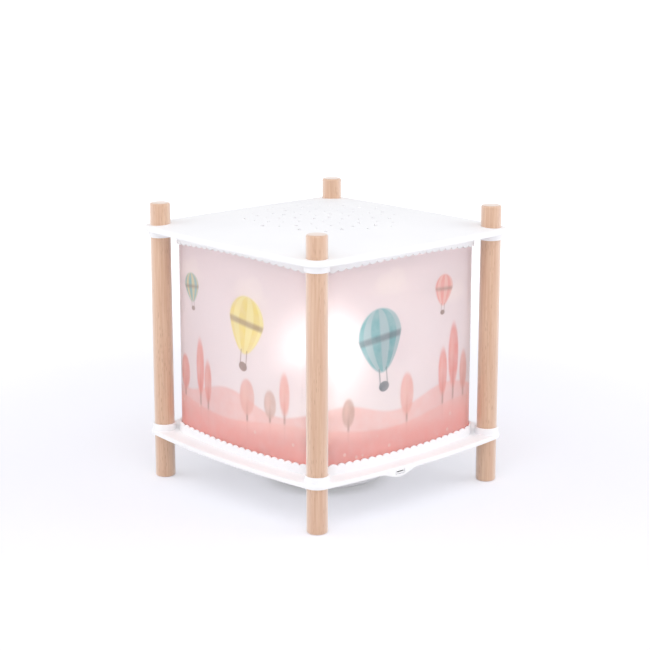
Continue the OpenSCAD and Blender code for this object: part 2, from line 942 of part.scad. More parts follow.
module gearbox() {
    color(nylon)
        difference() {
            union() {
                clear_of_wall()
                    at_motor()
                        translate([0, 0, gearbox_z])
                            cylinder(r = gearbox_r, h = gearbox_h);
                at_motor()
                    translate([0, 0, gearbox_z])
                        cylinder(r = gearbox_boss_r, h = gearbox_h + gearbox_boss_h);
                at_motor()
                    translate([-gearbox_ear_r, -gearbox_ear_at, base_z - gearbox_ear_t])
                        cube([2 * gearbox_ear_r, 2 * gearbox_ear_at, gearbox_ear_t]);
                at_motor_ears()
                    translate([0, 0, base_z - gearbox_ear_t])
                        cylinder(r = gearbox_ear_r, h = gearbox_ear_t, $fn = 48);
            }
            at_motor()
                translate([0, 0, base_z - shaft_in])
                    cylinder(r = shaft_r + shaft_gap, h = shaft_in + gearbox_boss_h + join, $fn = 48);
            at_motor_ears()
                translate([0, 0, base_z - gearbox_ear_t - join])
                    cylinder(r = small_screw_r + screw_fit, h = gearbox_ear_t + 2 * join, $fn = 48);
        }
}

module motor_can() {
    color(metal)
        clear_of_wall()
            at_motor()
                translate([0, 0, motor_z])
                    cylinder(r = motor_r, h = motor_h);
}

module motor_screws() {
    color(metal)
        at_motor_ears()
            translate([0, 0, base_z - gearbox_ear_t])
                screw(small_head_r, small_head_h, small_screw_r, gearbox_ear_t + small_bite);
}

module motor_shaft() {
    foot = base_z - shaft_in + shaft_gap;
    color(metal)
        at_motor()
            translate([0, 0, foot])
                cylinder(r = shaft_r, h = pinion_top - foot, $fn = 48);
}

module pinion() {
    color("gold")
        at_motor()
            translate([0, 0, pinion_z])
                difference() {
                    rotate(180 / pinion_teeth + 180)
                        linear_extrude(gear_face)
                            polygon(gear_outline(pinion_teeth));
                    translate([0, 0, -join])
                        cylinder(r = shaft_r + pinion_fit, h = gear_face + 2 * join, $fn = 48);
                }
}

// Turned half profile of the housing's outside
module bowl(r, z, corner_r) {
    rotate_extrude($fn = 180) {
        translate([0, z + corner_r])
            square([r, base_z - z - corner_r]);
        translate([0, z])
            square([r - corner_r, base_z - z]);
        intersection() {
            translate([r - corner_r, z + corner_r])
                circle(corner_r, $fn = 64);
            square([r, base_z]);
        }
    }
}

module housing() {
    notch_w = lead_d + 2 * lead_room;
    color(white)
        difference() {
            union() {
                difference() {
                    bowl(housing_r, housing_z, housing_round);
                    translate([0, 0, housing_floor])
                        cylinder(r = housing_inner_r, h = base_z);
                }
                at_housing_screws()
                    translate([0, 0, housing_floor - join])
                        cylinder(r = housing_boss_r, h = base_z - housing_floor + join, $fn = 48);
                // Saddles under the battery cell
                for (side = [-1, 1])
                    translate([side * saddle_at - saddle_t / 2, battery_y - battery_r, housing_floor - join])
                        cube([saddle_t, battery_d, saddle_rise + battery_r / 2 + join]);
                // Pedestal under the switch
                translate([switch_front - switch_body_t, -switch_body_w / 2, housing_floor - join])
                    cube([switch_seat_t, switch_body_w, switch_h - switch_body_h / 2 + join]);
            }
            at_housing_screws() {
                translate([0, 0, housing_z - join])
                    cylinder(
                        r = screw_head_r + screw_head_fit,
                        h = base_z - housing_z - screw_head_depth + join,
                        $fn = 48
                    );
                translate([0, 0, housing_z])
                    cylinder(r = screw_r + screw_fit, h = base_z, $fn = 48);
            }
            translate([-battery_len / 2, battery_y, battery_z])
                rotate([0, 90, 0])
                    cylinder(r = battery_r + battery_fit, h = battery_len);
            // Slot for the switch's knob
            translate([switch_front, -switch_slot_w / 2, switch_z - switch_slot_h / 2])
                cube([housing_r, switch_slot_w, switch_slot_h]);
            // Notch for the charging lead
            translate([0, channel_notch_y - notch_w / 2, base_z - lead_d - lead_room])
                cube([housing_r + join, notch_w, lead_d + lead_room + join]);
        }
}

module housing_screws() {
    color(metal)
        at_housing_screws()
            translate([0, 0, base_z - screw_head_depth])
                screw(screw_head_r, screw_head_h, screw_r, screw_head_depth + screw_bite);
}

module battery_cell() {
    cap_r = 2.6;
    cap_h = 1;
    color("steelblue")
        translate([-battery_len / 2, battery_y, battery_z])
            rotate([0, 90, 0]) {
                cylinder(r = battery_r, h = battery_len - cap_h);
                cylinder(r = cap_r, h = battery_len);
            }
}

module control_board() {
    chip = 7;
    chip_h = 1.1;
    color(board_green)
        difference() {
            union() {
                translate([-board_len / 2, board_y, board_z])
                    cube([board_len, board_w, board_t]);
                translate([-chip / 2, board_y + (board_w - chip) / 2, board_z - chip_h])
                    cube([chip, chip, chip_h + join]);
            }
            at_board_posts()
                translate([0, 0, board_z - join])
                    cylinder(r = small_screw_r + screw_fit, h = board_t + 2 * join, $fn = 48);
        }
}

module board_screws() {
    color(metal)
        at_board_posts()
            translate([0, 0, board_z])
                screw(small_head_r, small_head_h, small_screw_r, board_t + small_bite);
}

module slide_switch() {
    color(black)
        difference() {
            translate([switch_front - switch_body_t, -switch_body_w / 2, switch_z - switch_body_h / 2])
                cube([switch_body_t, switch_body_w, switch_body_h]);
            translate([switch_front - switch_groove, -switch_slot_w / 2, switch_z - switch_slot_h / 2])
                cube([switch_groove + join, switch_slot_w, switch_slot_h]);
        }
}

module switch_knob() {
    tail = switch_front - switch_groove + knob_gap;
    face = housing_r + knob_out;
    color(black)
        translate([0, 0, switch_z - knob_h / 2]) {
            translate([tail, -knob_w / 2, 0])
                cube([face - tail, knob_w, knob_h]);
            translate([face - knob_pad_t, -knob_pad_w / 2, 0])
                cube([knob_pad_t, knob_pad_w, knob_h]);
        }
}

module socket_board() {
    color(board_green)
        translate([socket_board_end - socket_board_len, socket_y - socket_board_w / 2, socket_board_z])
            cube([socket_board_len, socket_board_w, socket_board_t]);
}

module charging_socket() {
    shell_t = 0.3;
    tongue_t = 0.6;
    tongue_w = 3.6;
    tongue_in = 1;
    color(metal)
        translate([socket_front - socket_len, socket_y, socket_z]) {
            difference() {
                translate([0, -socket_w / 2, 0])
                    cube([socket_len, socket_w, socket_h]);
                translate([shell_t, -socket_w / 2 + shell_t, shell_t])
                    cube([socket_len, socket_w - 2 * shell_t, socket_h - 2 * shell_t]);
            }
            translate([0, -tongue_w / 2, socket_h / 2])
                cube([socket_len - tongue_in, tongue_w, tongue_t]);
        }
}

module channel_cover() {
    inner_half = swell_w / 2 - 2 * channel_wall;
    inner_drop = swell_drop - channel_wall;
    outer_depth = swell_depth(swell_w / 2, swell_drop, channel_rib_gap);
    inner_depth = swell_depth(inner_half, inner_drop, channel_rib_gap);
    rib_foot = base_z - (outer_depth + inner_depth) / 2;
    color(white)
        difference() {
            union() {
                intersection() {
                    difference() {
                        swell_bar(swell_w / 2, swell_drop, 0, base_half);
                        swell_bar(inner_half, inner_drop, -join, base_half + join);
                    }
                    translate([0, 0, base_z - swell_drop - join])
                        linear_extrude(swell_drop + join)
                            polygon(base_outline(-swell_wall - socket_fit));
                }
                // Ribs that hold the socket's board up, and the boss round the screw
                for (side = [-1, 1])
                    translate([channel_rib_x, socket_y + side * channel_rib_gap, rib_foot])
                        translate([0, -channel_rib_t / 2, 0])
                            cube([channel_rib_t, channel_rib_t, socket_board_z - rib_foot]);
                translate([channel_screw_x, socket_y, base_z - swell_drop + channel_wall / 2])
                    cylinder(r = boss_r, h = swell_drop - channel_wall / 2, $fn = 48);
            }
            translate([0, 0, base_z - swell_drop - join])
                cylinder(r = housing_r + screw_fit, h = swell_drop + 2 * join);
            translate([channel_screw_x, socket_y, base_z - swell_drop - join]) {
                cylinder(r = screw_r + screw_fit, h = swell_drop + 2 * join, $fn = 48);
                cylinder(r = screw_head_r + screw_head_fit, h = screw_head_h + join, $fn = 48);
            }
        }
}

module channel_screw() {
    color(metal)
        translate([channel_screw_x, socket_y, base_z - swell_drop + screw_head_h])
            screw(screw_head_r, screw_head_h, screw_r, swell_drop - screw_head_h + screw_bite);
}

// Leads: each starts on the control board's upper face
function board_pad(x) = [x, board_y + board_w - pad_in, lead_z];

module led_lead() {
    rise_y = -lead_hole_r + lead_d;
    color("crimson")
        lead([
            board_pad(0),
            [0, rise_y, lead_z],
            [0, rise_y, column_top - lead_gap]
        ]);
}

module motor_lead() {
    x = -board_len / 4;
    side = motor_r + lead_r + lead_gap;
    color("darkblue")
        lead([
            board_pad(x),
            [x, motor_at - gearbox_r - lead_edge, lead_z],
            [-side * cos(45), motor_at - side * sin(45), gearbox_z - motor_h / 2]
        ]);
}

module battery_lead() {
    end_x = -battery_len / 2 - lead_r - lead_gap;
    pad = [-board_len / 2 + pad_in, board_y + lead_edge, lead_z];
    color("crimson")
        lead([
            [end_x, battery_y, battery_z],
            [end_x, battery_y, lead_high_z],
            [pad.x, pad.y, lead_high_z],
            pad
        ]);
}

module switch_lead() {
    back = switch_front - switch_body_t - lead_r - lead_gap;
    color("gold")
        lead([
            [back, 0, switch_z],
            [back, 0, lead_high_z],
            [board_len / 4 + lead_room, board_y + board_w - pad_in, lead_high_z],
            board_pad(board_len / 4)
        ]);
}

module charging_lead() {
    start_x = channel_rib_x - lead_r;
    color("crimson")
        lead([
            [start_x, socket_y, socket_board_z - lead_gap],
            [start_x, socket_y, lead_high_z],
            [channel_screw_x + boss_r + lead_d, channel_notch_y, lead_high_z],
            [housing_inner_r - lead_edge, channel_notch_y, lead_high_z],
            [board_len / 2 - lead_d, board_y + board_w - lead_d / 2, lead_z]
        ]);
}

post(1, -1);  // post_front
post(1, 1);  // post_right
post(-1, 1);  // post_back
post(-1, -1);  // post_left
roof_shell();
base_plate();
outer_screen();
light_column();
column_screws();
thrust_washer();
turntable();
turntable_clip();
drum_film();
drum_hoop();
led_board();
leds();
lamp_globe();
gearbox();
motor_can();
motor_screws();
motor_shaft();
pinion();
housing();
housing_screws();
battery_cell();
control_board();
board_screws();
slide_switch();
switch_knob();
socket_board();
charging_socket();
channel_cover();
channel_screw();
led_lead();
motor_lead();
battery_lead();
switch_lead();
charging_lead();
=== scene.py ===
import bpy
import math
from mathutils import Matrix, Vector


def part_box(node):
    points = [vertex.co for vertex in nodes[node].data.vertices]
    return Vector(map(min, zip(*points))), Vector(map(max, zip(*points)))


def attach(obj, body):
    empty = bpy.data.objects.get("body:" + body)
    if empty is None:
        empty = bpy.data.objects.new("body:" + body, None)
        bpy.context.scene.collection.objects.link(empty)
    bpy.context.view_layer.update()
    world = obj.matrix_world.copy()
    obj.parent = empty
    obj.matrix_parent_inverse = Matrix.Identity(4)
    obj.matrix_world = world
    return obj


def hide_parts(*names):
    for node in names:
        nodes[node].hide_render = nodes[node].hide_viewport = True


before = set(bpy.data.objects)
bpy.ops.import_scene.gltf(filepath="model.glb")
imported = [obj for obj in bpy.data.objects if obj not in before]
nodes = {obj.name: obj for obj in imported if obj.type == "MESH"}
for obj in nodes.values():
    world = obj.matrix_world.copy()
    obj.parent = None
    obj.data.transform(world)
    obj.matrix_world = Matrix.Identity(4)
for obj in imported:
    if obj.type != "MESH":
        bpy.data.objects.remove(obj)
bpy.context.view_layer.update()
bpy.ops.object.select_all(action="DESELECT")


# Base plate: one white ABS moulding, 3 mm thick. Each post stands in a collar at a corner, a scalloped
# lip and a rib hold the screen's film, and a swell in the rim makes room for the charging socket.
MM = 0.001
POST_AT = 72 * MM
POST_HOLE_R = 6.45 * MM
COLLAR_R = 7.45 * MM
BASE_Z = 28 * MM
BASE_TOP = 31 * MM
BASE_LOBE_R = 8.2 * MM
BASE_BULGE = 4.8 * MM
BASE_COLLAR_TOP = 35 * MM
EDGE = 0.6 * MM
SINK = 0.5 * MM
BASE_STEPS = 720
ROUND_STEPS = 96
SMOOTH_UP_TO = math.radians(35)


def linear(hex_colour):
    """An sRGB hex colour as the linear values that a shader takes."""
    parts = [int(hex_colour[i:i + 2], 16) / 255 for i in (1, 3, 5)]
    return [c / 12.92 if c <= 0.04045 else ((c + 0.055) / 1.055) ** 2.4 for c in parts] + [1.0]


def add(tree, kind, sockets=None, **options):
    """Adds a node and gives its first output. Options are its own settings, sockets its inputs, as
    values or as links."""
    made = tree.nodes.new("ShaderNode" + kind)
    for option, value in options.items():
        setattr(made, option, value)
    for socket, value in (sockets or {}).items():
        if isinstance(value, bpy.types.NodeSocket):
            tree.links.new(value, made.inputs[socket])
        else:
            made.inputs[socket].default_value = value
    return made.outputs[0]


def new_material(name, **constants):
    """A material with one Principled shader, whose sockets take the constants given."""
    material = bpy.data.materials.new(name)
    material.use_nodes = True
    shader = material.node_tree.nodes["Principled BSDF"]
    for socket, value in constants.items():
        shader.inputs[socket.replace("_", " ")].default_value = value
    return material, material.node_tree, shader


def mottled(name, dark, light, patch, grain, dent, **constants):
    """A moulded, plated or coated finish: two near colours in soft patches, and a fine grain."""
    material, tree, shader = new_material(name, **constants)
    place = add(tree, "TexCoord").node.outputs["Object"]
    patches = add(tree, "TexNoise", {"Vector": place, "Scale": 1 / patch, "Detail": 3.0})
    tint = add(tree, "ValToRGB", {"Fac": patches})
    for element, colour, at in zip(tint.node.color_ramp.elements, (dark, light), (0.3, 0.7)):
        element.color = linear(colour)
        element.position = at
    tree.links.new(tint, shader.inputs["Base Color"])
    grains = add(tree, "TexNoise", {"Vector": place, "Scale": 1 / grain, "Detail": 2.0})
    bump = add(tree, "Bump", {"Height": grains, "Strength": 0.3, "Distance": dent})
    tree.links.new(bump, shader.inputs["Normal"])
    return material


def select_only(piece):
    bpy.ops.object.select_all(action="DESELECT")
    bpy.context.view_layer.objects.active = piece
    piece.select_set(True)


def soft_square(corner_at, corner_r, bulge):
    """Outline of a square with round corners and swelling sides. It starts at the back post, runs left
    to right as seen from outside, and gives a point and its outward normal for a share of the way round."""
    side_r = (corner_at ** 2 + (corner_r + bulge) ** 2 - corner_r ** 2) / (2 * bulge)
    turn = math.asin(corner_at / (side_r - corner_r))
    half_side = side_r * turn
    quarter = 2 * (half_side + corner_r * (math.pi / 4 - turn))

    def at(share):
        number, along = divmod(share % 1 * 4 * quarter, quarter)
        along -= quarter / 2
        if abs(along) < half_side:
            angle = along / side_r
            centre, r = Vector((corner_at + corner_r + bulge - side_r, 0)), side_r
        else:
            way = math.copysign(1, along)
            angle = way * (turn + (abs(along) - half_side) / corner_r)
            centre, r = Vector((corner_at, way * corner_at)), corner_r
        normal = Vector((math.cos(angle), math.sin(angle)))
        point = centre + r * normal
        for _ in range(int(number) + 2):
            point = Vector((-point.y, point.x))
            normal = Vector((-normal.y, normal.x))
        return point, normal

    return at, 4 * quarter


def wrap(name, around, rings):
    """A grid wrapped round the object: each ring gives the place of a point for its share of the way
    round. Rings that close up to a point or meet the first ring are merged."""
    bpy.ops.object.select_all(action="DESELECT")
    bpy.ops.mesh.primitive_grid_add(x_subdivisions=around, y_subdivisions=len(rings) - 1)
    piece = bpy.context.object
    piece.name = name
    for j, ring in enumerate(rings):
        for i in range(around + 1):
            piece.data.vertices[j * (around + 1) + i].co = ring(i % around / around)
    bpy.ops.object.mode_set(mode="EDIT")
    bpy.ops.mesh.select_all(action="SELECT")
    bpy.ops.mesh.remove_doubles(threshold=1e-6)
    bpy.ops.mesh.normals_make_consistent(inside=False)
    bpy.ops.object.mode_set(mode="OBJECT")
    return piece


def combine(piece, tools, operation):
    """Joins solids to a piece, or cuts them out of it. The tools stand clear of each other."""
    select_only(tools[0])
    for tool in tools[1:]:
        tool.select_set(True)
    if len(tools) > 1:
        bpy.ops.object.join()
    select_only(piece)
    modifier = piece.modifiers.new(operation, "BOOLEAN")
    modifier.operation = operation
    modifier.solver = "EXACT"
    modifier.object = tools[0]
    bpy.ops.object.modifier_apply(modifier=modifier.name)
    bpy.data.objects.remove(tools[0])


def round_bar(x, y, r, low, high, soft_z=None, soft=EDGE):
    """An upright round bar, for a boss or a bore. The edge at soft_z is rounded."""
    bpy.ops.object.select_all(action="DESELECT")
    bpy.ops.mesh.primitive_cylinder_add(
        vertices=ROUND_STEPS, radius=r, depth=high - low, location=(x, y, (low + high) / 2)
    )
    bar = bpy.context.object
    bpy.ops.object.transform_apply()
    if soft_z is not None:
        bpy.ops.object.mode_set(mode="EDIT")
        bpy.ops.mesh.select_mode(type="EDGE")
        bpy.ops.mesh.select_all(action="DESELECT")
        bpy.ops.object.mode_set(mode="OBJECT")
        for edge in bar.data.edges:
            edge.select = all(abs(bar.data.vertices[v].co.z - soft_z) < 1e-6 for v in edge.vertices)
        bpy.ops.object.mode_set(mode="EDIT")
        bpy.ops.mesh.bevel(offset=soft, segments=4)
        bpy.ops.object.mode_set(mode="OBJECT")
    return bar


def block(low, high, edge):
    """A box between two corners, with rounded edges."""
    bpy.ops.object.select_all(action="DESELECT")
    bpy.ops.mesh.primitive_cube_add(size=1)
    box = bpy.context.object
    box.scale = high - low
    box.location = (low + high) / 2
    bpy.ops.object.transform_apply()
    bpy.ops.object.mode_set(mode="EDIT")
    bpy.ops.mesh.select_all(action="SELECT")
    bpy.ops.mesh.bevel(offset=edge, segments=3)
    bpy.ops.object.mode_set(mode="OBJECT")
    return box


def finish_piece(piece, material, body, slot, *replaced):
    """Smooth shading up to an angle, the piece's material, and what it stands for in the frame."""
    select_only(piece)
    bpy.ops.object.shade_smooth_by_angle(angle=SMOOTH_UP_TO)
    piece.data.materials.clear()
    piece.data.materials.append(material)
    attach(piece, body)
    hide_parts(*replaced)


SWELL_Y = -17 * MM
SWELL_HALF = 15.5 * MM
SWELL_DROP = 3.5 * MM
SWELL_WALL = 2 * MM
post_places = [(x, y) for x in (-POST_AT, POST_AT) for y in (-POST_AT, POST_AT)]
base_at, _ = soft_square(POST_AT, BASE_LOBE_R, BASE_BULGE)


def swell(point):
    """How far the rim hangs down at a point of the outline."""
    away = abs(point.y - SWELL_Y) / SWELL_HALF
    if point.x < 0 or away > 1:
        return 0
    return SWELL_DROP * (0.5 + 0.5 * math.cos(math.pi * away))


def base_ring(inset, z, hanging=0):
    """A ring of the base plate, inset from its outline; a hanging ring follows the swell."""
    def ring(share):
        point, normal = base_at(share)
        place = point - inset * normal
        return place.x, place.y, z - hanging * swell(point)
    return ring


def quarter_round(ring_at, steps=4):
    """The rings of a soft edge, for angles from nothing to a right angle."""
    return [ring_at(math.pi / 2 * k / steps) for k in range(steps + 1)]


base_rings = [lambda share: (0, 0, BASE_Z)]
base_rings.append(base_ring(SWELL_WALL, BASE_Z))
base_rings.append(base_ring(SWELL_WALL, BASE_Z, 1))
base_rings += quarter_round(
    lambda a: base_ring(EDGE - EDGE * math.sin(a), BASE_Z + EDGE - EDGE * math.cos(a), 1)
)
base_rings += quarter_round(
    lambda a: base_ring(EDGE - EDGE * math.cos(a), BASE_TOP - EDGE + EDGE * math.sin(a))
)
base_rings.append(lambda share: (0, 0, BASE_TOP))
base = wrap("base_plate_moulding", BASE_STEPS, base_rings)

# The lip stands outside the film. Its edge rises towards the corners and is a row of humps with a sharp
# valley between each two. The rib stands inside the film.
SCREEN_CORNER_AT = 52 * MM
SCREEN_CORNER_R = 17 * MM
SCREEN_BULGE = 3.1 * MM
SCREEN_T = 0.6 * MM
LIP_FIT = 0.25 * MM
LIP_T = 1.2 * MM
LIP_EDGE = 0.25 * MM
BASE_LIP_H = 3.9 * MM
BASE_LIP_ARCH = 1.3 * MM
RIB_H = 2.4 * MM
SCALLOPS = 92
SCALLOP_H = 1.4 * MM
SCALLOP_STEPS = 10
FILM_STEPS = 540
screen_at, screen_round = soft_square(SCREEN_CORNER_AT, SCREEN_CORNER_R, SCREEN_BULGE)


def scallop(share, arch):
    """Height of the scalloped edge above its valleys in the middle of a side: an arch that is highest at
    the corners, and an arc over each pitch."""
    from_middle = 2 * (share * 4 % 1) - 1
    across = 2 * (share * SCALLOPS % 1) - 1
    half = screen_round / SCALLOPS / 2
    r = (half ** 2 + SCALLOP_H ** 2) / (2 * SCALLOP_H)
    return arch * from_middle ** 2 + math.sqrt(r ** 2 - (across * half) ** 2) - (r - SCALLOP_H)


def screen_ring(grow, z):
    """A ring along the screen's outline, moved outwards."""
    def ring(share):
        point, normal = screen_at(share)
        place = point + grow * normal
        return place.x, place.y, z
    return ring


def lip_ring(grow, z, way, arch):
    """A ring along a lip's scalloped edge, which points up or down."""
    def ring(share):
        x, y, level = screen_ring(grow, z)(share)
        return x, y, level + way * scallop(share, arch)
    return ring


def scalloped_lip(foot_z, valley_z, arch):
    """The lip's closed section: along its outside, over its edge and back along its inside."""
    way = 1 if valley_z > foot_z else -1
    inside, outside = LIP_FIT, LIP_FIT + LIP_T
    start = foot_z - way * SINK
    return wrap("scalloped_lip", SCALLOPS * SCALLOP_STEPS, [
        screen_ring(outside, start),
        lip_ring(outside, valley_z - way * LIP_EDGE, way, arch),
        lip_ring(outside - LIP_EDGE, valley_z, way, arch),
        lip_ring(inside + LIP_EDGE, valley_z, way, arch),
        lip_ring(inside, valley_z - way * LIP_EDGE, way, arch),
        screen_ring(inside, start),
        screen_ring(outside, start),
    ])


def band(name, outer, inner, low, high):
    """A plain wall along the screen's outline."""
    corners = ((outer, low), (outer, high), (inner, high), (inner, low), (outer, low))
    return wrap(name, FILM_STEPS, [screen_ring(grow, z) for grow, z in corners])


rib_outer = -SCREEN_T - LIP_FIT
rib_inner = rib_outer - LIP_T
combine(base, [scalloped_lip(BASE_TOP, BASE_TOP + BASE_LIP_H, BASE_LIP_ARCH)], "UNION")
combine(base, [band("film_rib", rib_outer, rib_inner, BASE_TOP - SINK, BASE_TOP + RIB_H)], "UNION")

# Bosses for the screws of the housing and of the channel's cover, the bores, and the socket's slot.
BOSS_R = 2.6 * MM
BOSS_TOP = 35 * MM
HOUSING_SCREW_AT = 33 * MM
HOUSING_SCREW_ANGLES = [math.radians(side + turn) for side in (0, 180) for turn in (-37, 37)]
CHANNEL_SCREW_X = 48 * MM
LEAD_HOLE_R = 6 * MM
MOTOR_AT = 25.6 * MM
MOTOR_SEAT_R = 3.8 * MM
SLOT_FIT = 0.15 * MM
SLOT_EDGE = 0.4 * MM
housing_screw_places = [
    (HOUSING_SCREW_AT * math.cos(a), HOUSING_SCREW_AT * math.sin(a)) for a in HOUSING_SCREW_ANGLES
]
combine(base, [
    round_bar(x, y, COLLAR_R, BASE_TOP - SINK, BASE_COLLAR_TOP, BASE_COLLAR_TOP) for x, y in post_places
] + [
    round_bar(x, y, BOSS_R, BASE_TOP - SINK, BOSS_TOP, BOSS_TOP)
    for x, y in housing_screw_places + [(CHANNEL_SCREW_X, SWELL_Y)]
], "UNION")
socket_low, socket_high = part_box("charging_socket")
slot_room = Vector((SWELL_WALL, SLOT_FIT, SLOT_FIT))
combine(base, [
    round_bar(x, y, POST_HOLE_R, BASE_Z - SINK, BASE_COLLAR_TOP + SINK) for x, y in post_places
] + [
    round_bar(0, 0, LEAD_HOLE_R, BASE_Z - SINK, BASE_TOP + SINK),
    round_bar(0, MOTOR_AT, MOTOR_SEAT_R, BASE_Z - SINK, BASE_TOP + SINK),
    block(socket_low - slot_room, socket_high + slot_room, SLOT_EDGE),
], "DIFFERENCE")

# White ABS, moulded with a matt finish: nearly white with a cool cast and hardly a highlight. Its
# spark-eroded grain is drawn at 0.6 mm, coarser than it is, so that it shows.
white_abs = mottled(
    "white_abs_matt", "#F6F6F9", "#FAFAFC", 40 * MM, 0.6 * MM, 0.03 * MM,
    Roughness=0.55, IOR=1.5, Specular_IOR_Level=0.1,
)
finish_piece(base, white_abs, "lantern", "white_plastic", "base_plate")


# Light column: a natural nylon tube on a round foot, screwed to the base plate from below. The turntable
# with its gear runs round it on a washer, and a spring clip of steel wire keeps it down.
def dress(material, *names):
    """Gives a material to pieces that keep their shape from the frame."""
    for name in names:
        for slot in nodes[name].material_slots:
            slot.material = material


# Nylon, moulded: milky and slightly yellow, with a waxy gloss.
natural_nylon = mottled(
    "natural_nylon", "#E4E1D6", "#EFECE2", 12 * MM, 0.8 * MM, 0.02 * MM, Roughness=0.45, IOR=1.53
)
# Zinc-plated steel: bright grey metal with a faint cloudiness from the bath.
zinc_steel = mottled(
    "zinc_plated_steel", "#B9BBBD", "#D5D6D6", 3 * MM, 0.5 * MM, 0.02 * MM, Metallic=1.0, Roughness=0.32
)
dress(natural_nylon, "light_column", "thrust_washer", "turntable")
dress(zinc_steel, "column_screws", "turntable_clip")


# Geared motor: a nylon gearbox on a steel can, held under the base plate by two screws. Its shaft comes
# up through the plate and carries a brass pinion that drives the turntable.
# Brass, hobbed: warm yellow metal with fine tool marks.
hobbed_brass = mottled(
    "hobbed_brass", "#C9A254", "#DDBB70", 2 * MM, 0.3 * MM, 0.03 * MM, Metallic=1.0, Roughness=0.3
)
dress(natural_nylon, "gearbox")
dress(zinc_steel, "motor_can", "motor_shaft", "motor_screws")
dress(hobbed_brass, "pinion")


# Lamp: six LEDs on a round board on top of the column, under a frosted globe that is pushed over the
# column's end. The globe is lit and is the glow that shows through the screen.
# White solder mask on glass-fibre board: bright, a little glossy.
lamp_board_white = mottled(
    "white_solder_mask", "#EDEDE8", "#F6F6F2", 4 * MM, 0.5 * MM, 0.01 * MM, Roughness=0.35, IOR=1.5
)
# Silicone over phosphor: a soft yellow lens.
led_silicone = mottled(
    "phosphor_silicone", "#F0D45A", "#F7E58C", 1 * MM, 0.3 * MM, 0.01 * MM, Roughness=0.3, IOR=1.41
)
# Frosted polycarbonate, lit from inside: an even warm white.
lit_globe = mottled(
    "frosted_polycarbonate_lit", "#F4EFE8", "#FBF8F3", 15 * MM, 0.6 * MM, 0.02 * MM,
    Roughness=0.6, IOR=1.58, Emission_Color=linear("#FFFAF5"), Emission_Strength=5.8,
)
dress(lamp_board_white, "led_board")
dress(led_silicone, "leds")
dress(lit_globe, "lamp_globe")


# Picture drum: a tube of clear film that stands on the turntable and is held round by a hoop at its top.
# Its pale print of drifting clouds goes round behind the screen.
DRUM_CLOUDS = 7
DRUM_SWAY = 2.4
DRUM_PUFFS = ((0.5, -0.05, 0.34, 0.26), (0.38, 0.12, 0.16, 0.3), (0.58, 0.22, 0.18, 0.38))
drum_low, drum_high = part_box("drum_film")
drum_film, tree, shader = new_material("printed_clear_film", Roughness=0.4, IOR=1.5)
drum_place = add(tree, "TexCoord").node.outputs["Object"]
drum_axes = add(tree, "SeparateXYZ", {"Vector": drum_place}).node.outputs
turn = add(tree, "Math", {0: drum_axes["Y"], 1: drum_axes["X"]}, operation="ARCTAN2")
turn = add(tree, "Math", {0: turn, 1: DRUM_CLOUDS / math.tau, 2: 0.5}, operation="MULTIPLY_ADD")
number = add(tree, "Math", {0: turn}, operation="FLOOR")
across = add(tree, "Math", {0: turn, 1: number}, operation="SUBTRACT")
sway = add(tree, "Math", {0: number, 1: DRUM_SWAY}, operation="MULTIPLY")
sway = add(tree, "Math", {0: sway}, operation="SINE")
drum_up = add(tree, "MapRange", {
    "Value": drum_axes["Z"], "From Min": drum_low.z, "From Max": drum_high.z, "To Min": -2.0, "To Max": 2.0
})
drum_up = add(tree, "Math", {0: drum_up, 1: sway}, operation="SUBTRACT")
drum_flat = add(tree, "CombineXYZ", {"X": across, "Y": drum_up})
cloud_cover = 0.0
for x, y, wide, high in DRUM_PUFFS:
    local = add(
        tree, "Mapping", {"Vector": drum_flat, "Location": (x, y, 0), "Scale": (wide, high, 1)},
        vector_type="TEXTURE",
    )
    away = add(tree, "VectorMath", {0: local}, operation="LENGTH").node.outputs["Value"]
    puff = add(tree, "MapRange", {"Value": away, "From Min": 1.1, "From Max": 0.9, "To Max": 0.75})
    cloud_cover = add(tree, "Math", {0: cloud_cover, 1: puff}, operation="MAXIMUM")
drum_colour = add(tree, "MixRGB", {
    "Fac": cloud_cover, "Color1": linear("#FBF1EF"), "Color2": linear("#EFC4C2")
})
tree.links.new(drum_colour, shader.inputs["Base Color"])
drum_alpha = add(tree, "MapRange", {"Value": cloud_cover, "To Min": 0.2, "To Max": 0.5})
tree.links.new(drum_alpha, shader.inputs["Alpha"])
dress(drum_film, "drum_film")
dress(white_abs, "drum_hoop")


# Charging: a micro-USB socket on a small board lies in the swell of the rim, and a white cover closes the
# channel that its lead runs in, held by one screw.
# Green solder mask on glass-fibre board: copper tracks show through it as paler lines.
circuit_board, tree, shader = new_material("green_solder_mask", Roughness=0.3, IOR=1.5)
TRACK_PITCH = 2.5 * MM
board_place = add(tree, "TexCoord").node.outputs["Object"]
tracks = add(tree, "TexBrick", {
    "Vector": board_place, "Color1": linear("#1F6B43"), "Color2": linear("#237549"),
    "Mortar": linear("#4E9A6C"), "Scale": 1 / TRACK_PITCH, "Mortar Size": 0.06,
})
tree.links.new(tracks, shader.inputs["Base Color"])
dress(circuit_board, "socket_board")
dress(zinc_steel, "channel_screw")
dress(white_abs, "channel_cover")

# The socket's tongue and its insert fill its mouth up to a narrow slot.
MOUTH_W = 5.8 * MM
MOUTH_H = 0.7 * MM
MOUTH_DEEP = 3 * MM
MOUTH_DROP = 0.9 * MM
MOUTH_EDGE = 0.1 * MM
SOCKET_EDGE = 0.3 * MM
socket = block(socket_low, socket_high, SOCKET_EDGE)
socket.name = "charging_socket_mouth"
mouth_at = Vector((socket_high.x, (socket_low.y + socket_high.y) / 2, socket_high.z - MOUTH_DROP))
mouth_half = Vector((MOUTH_DEEP, MOUTH_W / 2, MOUTH_H / 2))
combine(socket, [block(mouth_at - mouth_half, mouth_at + mouth_half, MOUTH_EDGE)], "DIFFERENCE")
